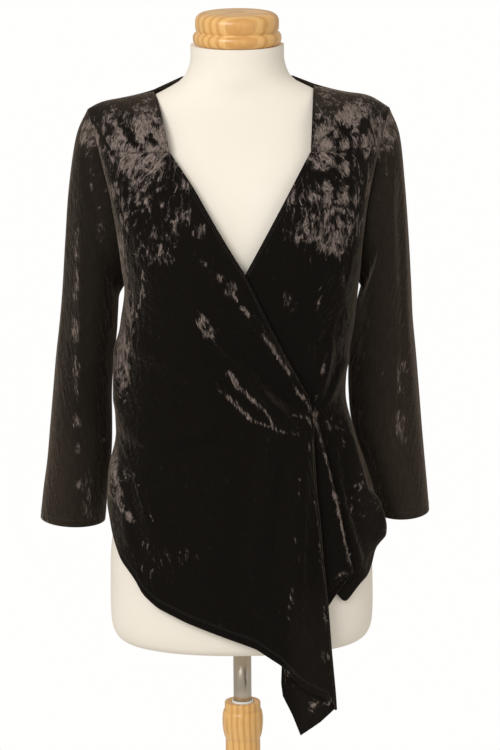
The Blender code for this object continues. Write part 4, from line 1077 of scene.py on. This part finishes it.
def add_attributes(made, points, crush_and_highlight, nap):
    """Cloth's own flat coordinates, its share of crushed pile with painted highlight and its share of
    painted sheen, for the velvet's nodes.
    """
    step_across = np.linalg.norm(np.diff(points, axis=1), axis=0)
    step_up = np.linalg.norm(np.diff(points, axis=2), axis=0)
    across = np.zeros(points.shape[1:])
    up = np.zeros(points.shape[1:])
    across[1:] = np.cumsum(step_across.mean(axis=1))[:, None]
    up[:, 1:] = np.cumsum(step_up, axis=1)
    up -= up[:, -1:]
    flat = np.stack([across, up, np.zeros_like(up)], axis=-1).reshape(-1)
    made.data.attributes.new("Cloth", "FLOAT_VECTOR", "POINT").data.foreach_set("vector", flat)
    for name, share in (("Crush and highlight", crush_and_highlight), ("Painted sheen", nap)):
        made.data.attributes.new(name, "FLOAT", "POINT").data.foreach_set("value", share.reshape(-1))


def with_turn(flat, turn_share, count):
    """Columns of a piece whose edge turns under: its flat part, the turn and the layer that runs back."""
    turn, layer = even(TURN_COLUMNS, 0.0, turn_share)[1:], even(count, turn_share, 1.0)[1:]
    return np.concatenate([flat, 1.0 + turn, 1.0 + layer])


def add_cloth(context, name, columns, rows, point, crush_and_highlight, node, flipped=False):
    """Cloth wall on a node's form, with its finish and its cut."""
    settings = context.scene.blouse
    across, up = np.meshgrid(columns, rows, indexing="ij")
    points = point(across, up)
    made = grid_object(name, filled(points), flipped, bpy.data.materials["Crushed black velvet"])
    add_attributes(made, points, crush_and_highlight(points), painted_sheen_amount(points, node in SLEEVE_NODES))
    wall = made.modifiers.new("Wall", "SOLIDIFY")
    wall.thickness = settings.cloth_thickness
    wall.offset = -1.0
    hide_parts(node)
    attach(made, "root")
    return made


def stitch_mesh(name, lines, settings):
    """Short raised stitches, end to end along lines of points with their normals."""
    verts, faces = [], []
    for points, normals in lines:
        steps = np.linalg.norm(np.diff(points, axis=1), axis=0)
        reach = np.concatenate([[0.0], np.cumsum(steps)])
        pitch = settings.stitch_pitch
        for start in np.arange(pitch * STITCH_START, reach[-1] - pitch, pitch):
            ends = [
                np.array([np.interp(start + run, reach, values) for values in points])
                for run in (0.0, pitch * STITCH_SHARE)
            ]
            normal = np.array([np.interp(start, reach, values) for values in normals])
            run = ends[1] - ends[0]
            side = np.cross(run, normal)
            side = side / max(np.linalg.norm(side), 1e-9) * settings.stitch_width / 2.0
            lift = normal * settings.stitch_width * 0.5
            n = len(verts)
            verts.append(ends[0] - lift * 0.6)
            for share in (0.25, 0.75):
                middle = ends[0] + run * share
                verts += [middle + side, middle + lift, middle - side, middle - lift]
            verts.append(ends[1] - lift * 0.6)
            for k in range(4):
                m = (k + 1) % 4
                faces += [(n, n + 1 + m, n + 1 + k), (n + 1 + k, n + 1 + m, n + 5 + m, n + 5 + k)]
                faces.append((n + 5 + k, n + 5 + m, n + 9))
    mesh = bpy.data.meshes.new(name)
    mesh.from_pydata([tuple(v + np.array([0.0, 0.0, FORM_BASE])) for v in verts], [], faces)
    mesh.shade_smooth()
    return mesh


def surface_line(point, columns, rows, outward):
    """Points and normals along a line on a surface, given by its columns and rows."""
    columns, rows = np.asarray(columns, float), np.asarray(rows, float)
    d = 0.002
    here = point(columns, rows)
    across = point(columns + d, rows) - point(columns - d, rows)
    up = point(columns, rows + d) - point(columns, rows - d)
    normal = np.cross(across, up, axis=0) * outward
    return here, normal / np.maximum(np.linalg.norm(normal, axis=0), 1e-12)


def add_stitches(context, name, lines, carrier):
    mesh = stitch_mesh(name, lines, context.scene.blouse)
    made = bpy.data.objects.new(name, mesh)
    context.scene.collection.objects.link(made)
    mesh.materials.append(bpy.data.materials["Black thread"])
    made.parent = carrier
    return made


# Crushed pile and painted highlight of the front pieces.
def front_crush_and_highlights(points):
    return crush_and_highlight_amount(FRONT_CRUSH_AND_HIGHLIGHTS, FRONT_PAINTED_HIGHLIGHTS_AND_SHADE, points[0], points[2])


def back_crush(points):
    return crush_and_highlight_amount(BACK_CRUSH, (), points[0], points[2])


def sleeve_crush_and_highlights(points):
    """Crushed pile and painted highlight of a sleeve: placed patches in front and their mirror behind."""
    ahead = eased((0.020 - points[1]) / 0.02)
    front = crush_and_highlight_amount(SLEEVE_CRUSH_AND_HIGHLIGHTS, (), points[0], points[2])
    behind = crush_and_highlight_amount(SLEEVE_CRUSH_AND_HIGHLIGHTS, (), points[0] * 0.99, points[2] + 0.035) * 0.8
    return front * ahead + behind * (1.0 - ahead)


def add_turned(name, steps, material):
    """Turned solid from a profile that runs down its outer side."""
    outline = bmesh.new()
    verts = [outline.verts.new((radius, 0.0, height)) for radius, height in steps]
    for upper, lower in zip(verts, verts[1:]):
        outline.edges.new((upper, lower))
    mesh = bpy.data.meshes.new(name)
    outline.to_mesh(mesh)
    outline.free()
    made = bpy.data.objects.new(name, mesh)
    bpy.context.scene.collection.objects.link(made)
    mesh.materials.append(material)
    screw = made.modifiers.new("Turn", "SCREW")
    screw.steps = 96
    screw.render_steps = 96
    screw.use_merge_vertices = True
    screw.merge_threshold = 0.00005
    screw.use_smooth_shade = True
    return made


def place_turned(made, node):
    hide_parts(node)
    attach(made, "root")
    return made


def colour(name, description, default):
    """Setting for a colour, as shares of red, green and blue."""
    return FloatVectorProperty(
        name=name, description=description, default=default, subtype="COLOR", size=3, min=0.0, max=1.0
    )


def number(name, description, default, low, high, subtype="NONE", unit="NONE"):
    """Setting for a number between two limits."""
    return FloatProperty(
        name=name, description=description, default=default, min=low, max=high, subtype=subtype, unit=unit
    )


def distance(name, description, default, low, high):
    """Setting for a length in metres."""
    return number(name, description, default, low, high, "DISTANCE", "LENGTH")


def rotation(name, description, degrees):
    """Setting for an angle of a quarter turn at most to either side."""
    quarter = math.pi / 2.0
    return number(name, description, math.radians(degrees), -quarter, quarter, "ANGLE", "ROTATION")


class BlouseSettings(bpy.types.PropertyGroup):
    cloth_thickness: distance("Cloth thickness", "Thickness of the velvet", 0.0013, 0.0003, 0.003)
    velvet_shadow: colour("Velvet shadow", "Darkest colour between the pile", (0.0025, 0.0018, 0.0013))
    velvet_pile: colour("Velvet pile", "Colour of the upright pile", (0.0060, 0.0044, 0.0033))
    # Painted sheen: the paler brown that the pile is painted where the light falls.
    velvet_painted_sheen: colour("Painted sheen on the pile", "Colour of pile that leans to the light", (0.036, 0.027, 0.019))
    # Colours of the crushed pile, which also paint the highlights where the light falls.
    velvet_crushed_and_highlight: colour("Crushed pile and highlight", "Colour of the pile laid flat", (0.085, 0.066, 0.058))
    velvet_bright_highlight: colour("Crushed pile and highlight in the light", "Brightest colour of flat pile", (0.25, 0.20, 0.178))
    velvet_sheen: number("Velvet sheen", "Strength of soft light at its edges", 0.45, 0.0, 1.0, "FACTOR")
    thread_light: colour("Thread", "Light colour of the sewing thread", (0.050, 0.043, 0.038))
    stitch_pitch: distance("Stitch pitch", "Distance from one stitch to the next", 0.0030, 0.001, 0.01)
    stitch_width: distance("Stitch width", "Width of a stitch", 0.0005, 0.0001, 0.002)


class DressFormSettings(bpy.types.PropertyGroup):
    columns: IntProperty(
        name="Form columns", description="Columns of faces round the form", default=128, min=16, max=256
    )
    jersey_colour: colour("Jersey", "Colour of the form's cover", (0.93, 0.88, 0.79))
    jersey_shade: colour("Jersey mottle", "Slightly darker colour in the cover", (0.90, 0.845, 0.75))
    pine_early: colour("Pine", "Colour between the growth rings", (0.83, 0.49, 0.165))
    pine_late: colour("Pine rings", "Colour of the growth rings", (0.61, 0.29, 0.070))
    steel_colour: colour("Steel", "Colour of the brushed tube", (0.45, 0.40, 0.33))
    plastic_colour: colour("Plastic", "Colour of the guard", (0.82, 0.84, 0.82))


class StudioSettings(bpy.types.PropertyGroup):
    floor_colour: colour("Floor", "Colour of the floor", (0.86, 0.86, 0.85))
    floor_radius: distance("Floor radius", "Radius of the floor", 1.6, 0.5, 5.0)
    key_power: number("Key light", "Power of the main light in watts", 66.0, 0.0, 1000.0)
    fill_power: number("Fill light", "Power of the light from the other side in watts", 8.0, 0.0, 1000.0)
    room_colour: colour("Room colour", "Colour of the light from all round", (1.0, 0.955, 0.885))
    room_light: number("Room light", "Strength of the light from all round", 0.55, 0.0, 5.0)
    lens: number("Lens", "Focal length in millimetres on a 36 mm side", 123.12, 20.0, 300.0)
    pitch: rotation("Camera pitch", "How far the camera looks down", 10.8)
    roll: rotation("Camera roll", "How far the camera is turned about its axis", 0.43)


class BLOUSE_OT_finishes(bpy.types.Operator):
    """Make the velvet, thread, jersey, pine, steel and plastic"""

    bl_idname = "blouse.finishes"
    bl_label = "Finishes"

    def execute(self, context):
        velvet_finish(context.scene.blouse)
        thread_finish(context.scene.blouse)
        form = context.scene.dress_form
        jersey_finish(form)
        for name, (across, tilt) in PINES.items():
            pine_finish(form, name, across, tuple(math.radians(angle) for angle in tilt))
        steel_finish(form)
        plastic_finish(form)
        return {"FINISHED"}


class BLOUSE_OT_fronts(bpy.types.Operator):
    """Build the crossing front, the front below it and their stitching"""

    bl_idname = "blouse.fronts"
    bl_label = "Fronts"

    def execute(self, context):
        over, under = (
            np.concatenate([even(52, 0.0, GATHERED_SHARE), even(count, GATHERED_SHARE, 1.0)[1:]])
            for count in (84, 60)
        )
        overlap = add_cloth(
            context, "crossing_front", with_turn(over, TAIL_TURN_SHARE, 20), even(230), overlap_point,
            front_crush_and_highlights, "front_overlap",
        )
        underlap = add_cloth(
            context, "lower_front", under, even(190), partial(front_point, 1), front_crush_and_highlights,
            "front_underlap", flipped=True,
        )
        lines = []
        for side, first, last, carrier in ((-1, 0.34, 0.93, overlap), (1, 0.36, 0.80, underlap)):
            share = np.linspace(first, last, 160)
            low, high = front_span(side, share)
            for inset in EDGE_STITCHES:
                rows = 1.0 - inset / (high - low) * EDGE_STITCH_SLANT
                lines.append(surface_line(partial(front_point, side), share, rows, -side))
        share = np.linspace(0.02, 0.99, 240)
        low, high = front_span(-1, share)
        for inset in HEM_STITCHES:
            lines.append(surface_line(partial(front_point, -1), share, inset / (high - low), 1))
        add_stitches(context, "front_stitches", lines, overlap)
        return {"FINISHED"}


class BLOUSE_OT_tier(bpy.types.Operator):
    """Build the second fold that falls from the knot"""

    bl_idname = "blouse.tier"
    bl_label = "Second fold"

    def execute(self, context):
        add_cloth(
            context, "second_fold", with_turn(even(18), TIER_TURN_SHARE, 16), even(90), tier_point,
            front_crush_and_highlights, "cascade_tier",
        )
        return {"FINISHED"}


class BLOUSE_OT_yokes(bpy.types.Operator):
    """Build both front yokes and the stitching of their neck edges"""

    bl_idname = "blouse.yokes"
    bl_label = "Yokes"

    def execute(self, context):
        for side, name, node in ((-1, "right_yoke", "yoke_right"), (1, "left_yoke", "yoke_left")):
            point = partial(yoke_point, side)
            made = add_cloth(
                context, name, even(52), even(56), point, front_crush_and_highlights,
                node, flipped=side < 0,
            )
            rise = np.linspace(0.01, 0.97, 60)
            lines = [
                surface_line(point, 0.0 * rise + inset / YOKE_WIDTH, rise, side) for inset in EDGE_STITCHES
            ]
            add_stitches(context, name + "_stitches", lines, made)
        return {"FINISHED"}


class BLOUSE_OT_back(bpy.types.Operator):
    """Build the back with its hem stitching"""

    bl_idname = "blouse.back"
    bl_label = "Back"

    def execute(self, context):
        rows = np.concatenate([even(140, 0.0, BACK_SPLIT), even(44, BACK_SPLIT, 1.0)[1:]])
        made = add_cloth(
            context, "back", even(160, -1.0, 1.0), rows, back_point, back_crush,
            "back_panel", flipped=True,
        )
        share = np.linspace(-0.98, 0.98, 240)
        lines = [
            surface_line(back_point, share, 0.0 * share + inset / BACK_LENGTH, -1) for inset in HEM_STITCHES
        ]
        add_stitches(context, "back_stitches", lines, made)
        return {"FINISHED"}


class BLOUSE_OT_sleeves(bpy.types.Operator):
    """Build both sleeves with their cuff stitching"""

    bl_idname = "blouse.sleeves"
    bl_label = "Sleeves"

    def execute(self, context):
        for side, name, node in ((-1, "right_sleeve", "sleeve_right"), (1, "left_sleeve", "sleeve_left")):
            made = add_cloth(
                context, name, even(110), even(150), partial(creased_sleeve_point, side), sleeve_crush_and_highlights,
                node,
            )
            point, around = partial(sleeve_point, side), np.linspace(0.004, 0.996, 200)
            lines = [
                surface_line(point, around, 0.0 * around + inset / SLEEVE_LENGTH, 1)
                for inset in HEM_STITCHES
            ]
            add_stitches(context, name + "_stitches", lines, made)
        return {"FINISHED"}


class BLOUSE_OT_dress_form(bpy.types.Operator):
    """Build the torso of the dress form and its turned neck cap"""

    bl_idname = "blouse.dress_form"
    bl_label = "Dress form"

    def execute(self, context):
        settings = context.scene.dress_form
        heights = np.concatenate([even(24, 0.0, 0.030), even(130, 0.030, 0.764)[1:]])
        around, height = np.meshgrid(even(settings.columns), heights, indexing="ij")
        x, y = ring_point(level(FORM, height), 360.0 * around)
        tilt = np.maximum(0.0, height - NECK_TILT_FROM) * NECK_TILT * y
        points = np.array([x, y, height + tilt])
        made = grid_object("form", points, False, bpy.data.materials["Cream jersey"])
        shape = bmesh.new()
        shape.from_mesh(made.data)
        bmesh.ops.remove_doubles(shape, verts=shape.verts, dist=1e-6)
        bmesh.ops.holes_fill(shape, edges=[edge for edge in shape.edges if edge.is_boundary])
        bmesh.ops.recalc_face_normals(shape, faces=shape.faces)
        shape.to_mesh(made.data)
        shape.free()
        made.data.set_sharp_from_angle(angle=math.radians(50.0))
        place_turned(made, "form_torso")
        cap = add_turned("neck_cap", CAP_STEPS, bpy.data.materials["Pine of the cap"])
        tilt = math.atan((FORM[-1].height - NECK_TILT_FROM) * NECK_TILT)
        cap.location = (0.0, 0.0, FORM_BASE + CAP_HEIGHT + SEAM_GAP)
        cap.rotation_euler = (tilt, 0.0, 0.0)
        place_turned(cap, "form_neck_cap")
        return {"FINISHED"}


class BLOUSE_OT_stand(bpy.types.Operator):
    """Build the steel pole, its plastic guard, the turned post and the base"""

    bl_idname = "blouse.stand"
    bl_label = "Stand"

    def execute(self, context):
        post_top = FORM_BASE + POST_STEPS[0].height
        bore_foot = post_top - POST_BORE_DEPTH
        guard_top, guard_foot = FORM_BASE + GUARD_TOP, bore_foot + SEAM_GAP
        pole = (
            (0.0, FORM_BASE - SEAM_GAP), (POLE_RADIUS, FORM_BASE - SEAM_GAP),
            (POLE_RADIUS, guard_foot), (0.0, guard_foot),
        )
        place_turned(add_turned("pole", pole, bpy.data.materials["Brushed steel"]), "stand_pole")
        inside = POLE_RADIUS + SEAM_GAP
        guard = (
            (inside, guard_top - SOFT_EDGE), (inside + SOFT_EDGE * SOFT_INSIDE, guard_top),
            (GUARD_RADIUS - SOFT_EDGE, guard_top), (GUARD_RADIUS, guard_top - SOFT_EDGE),
            (GUARD_RADIUS, guard_foot), (inside, guard_foot), (inside, guard_top - SOFT_EDGE),
        )
        plastic = bpy.data.materials["White plastic"]
        place_turned(add_turned("guard", guard, plastic), "stand_pole_guard")
        foot = BASE_THICKNESS + SEAM_GAP
        post = (
            (0.0, bore_foot), (POST_BORE_RADIUS, bore_foot), (POST_BORE_RADIUS, post_top - SOFT_EDGE),
            (POST_BORE_RADIUS + SOFT_EDGE, post_top),
            *((step.radius, FORM_BASE + step.height) for step in POST_STEPS),
            (POST_FOOT_RADIUS, foot), (0.0, foot),
        )
        place_turned(add_turned("post", post, bpy.data.materials["Pine of the post"]), "stand_post")
        middle, edge_height = BASE_RADIUS - BASE_EDGE, BASE_THICKNESS - BASE_EDGE
        base = (
            (0.0, BASE_THICKNESS),
            *(
                (middle + BASE_EDGE * math.sin(turn), edge_height + BASE_EDGE * math.cos(turn))
                for turn in np.radians(range(0, 91, 15))
            ),
            (BASE_RADIUS, BASE_FOOT_EDGE), (BASE_RADIUS - BASE_FOOT_EDGE, 0.0), (0.0, 0.0),
        )
        place_turned(add_turned("base", base, bpy.data.materials["Pine of the base"]), "stand_base")
        return {"FINISHED"}


class BLOUSE_OT_studio(bpy.types.Operator):
    """Build the floor, the soft lights and the camera"""

    bl_idname = "blouse.studio"
    bl_label = "Studio"

    def execute(self, context):
        settings = context.scene.studio
        shape = bmesh.new()
        bmesh.ops.create_circle(shape, cap_ends=True, segments=128, radius=settings.floor_radius)
        mesh = bpy.data.meshes.new("floor")
        shape.to_mesh(mesh)
        shape.free()
        floor = bpy.data.objects.new("floor", mesh)
        context.scene.collection.objects.link(floor)
        floor.location.z = -0.0002
        made = Finish("Pale floor")
        cloudy = made.noise(made.place(), 3.0, 2.0)
        made.surface(base_color=made.mix(cloudy, settings.floor_colour, (0.90, 0.90, 0.89)), roughness=0.7)
        mesh.materials.append(made.material)
        for name, power, size, place in (
            ("key", settings.key_power, 1.6, (-1.5, -2.6, 3.0)),
            ("fill", settings.fill_power, 2.0, (2.2, -2.0, 1.8)),
        ):
            lamp = bpy.data.lights.new(name, "AREA")
            lamp.energy, lamp.size = power, size
            light = bpy.data.objects.new(name, lamp)
            context.scene.collection.objects.link(light)
            light.rotation_euler = (LIGHT_AIM - Vector(place)).to_track_quat("-Z", "Y").to_euler()
            light.location = place
        world = bpy.data.worlds.new("Studio")
        context.scene.world = world
        world.use_nodes = True
        tree = world.node_tree
        back = tree.nodes["Background"]
        path = tree.nodes.new("ShaderNodeLightPath")
        seen = tree.nodes.new("ShaderNodeMapRange")
        seen.inputs["To Min"].default_value = settings.room_light
        seen.inputs["To Max"].default_value = 1.0
        tree.links.new(path.outputs["Is Camera Ray"], seen.inputs["Value"])
        tree.links.new(seen.outputs[0], back.inputs["Strength"])
        tint = tree.nodes.new("ShaderNodeMix")
        tint.data_type = "RGBA"
        tint.inputs[6].default_value = (*settings.room_colour, 1.0)
        tint.inputs[7].default_value = PAPER_WHITE
        tree.links.new(path.outputs["Is Camera Ray"], tint.inputs[0])
        tree.links.new(tint.outputs[2], back.inputs["Color"])
        lens = bpy.data.cameras.new("camera")
        lens.lens = settings.lens
        camera = bpy.data.objects.new("camera", lens)
        context.scene.collection.objects.link(camera)
        tilted = Matrix.Rotation(math.radians(90.0) - settings.pitch, 4, "X")
        rolled = Matrix.Rotation(-settings.roll, 4, "Z")
        camera.matrix_world = Matrix.Translation(CAMERA_PLACE) @ tilted @ rolled
        context.scene.camera = camera
        context.scene.view_settings.view_transform = "Standard"
        return {"FINISHED"}


STEPS = (
    BLOUSE_OT_finishes, BLOUSE_OT_fronts, BLOUSE_OT_tier, BLOUSE_OT_yokes, BLOUSE_OT_back, BLOUSE_OT_sleeves,
    BLOUSE_OT_dress_form, BLOUSE_OT_stand, BLOUSE_OT_studio,
)


class BLOUSE_PT_panel(bpy.types.Panel):
    bl_idname = "BLOUSE_PT_panel"
    bl_label = "Blouse on dress form"
    bl_space_type = "VIEW_3D"
    bl_region_type = "UI"
    bl_category = "Blouse"

    def draw(self, context):
        for step in STEPS:
            self.layout.operator(step.bl_idname)
        for group in (context.scene.blouse, context.scene.dress_form, context.scene.studio):
            for key in group.__annotations__:
                self.layout.prop(group, key)


GROUPS = {"blouse": BlouseSettings, "dress_form": DressFormSettings, "studio": StudioSettings}


def register():
    for group in GROUPS.values():
        bpy.utils.register_class(group)
    for key, group in GROUPS.items():
        setattr(bpy.types.Scene, key, PointerProperty(type=group))
    for step in (*STEPS, BLOUSE_PT_panel):
        bpy.utils.register_class(step)


def unregister():
    for step in reversed((*STEPS, BLOUSE_PT_panel)):
        bpy.utils.unregister_class(step)
    for key, group in GROUPS.items():
        delattr(bpy.types.Scene, key)
        bpy.utils.unregister_class(group)


def main():
    register()
    bpy.ops.blouse.finishes()
    bpy.ops.blouse.fronts()
    bpy.ops.blouse.tier()
    bpy.ops.blouse.yokes()
    bpy.ops.blouse.back()
    bpy.ops.blouse.sleeves()
    bpy.ops.blouse.dress_form()
    bpy.ops.blouse.stand()
    bpy.ops.blouse.studio()


if __name__ == "__main__":
    main()
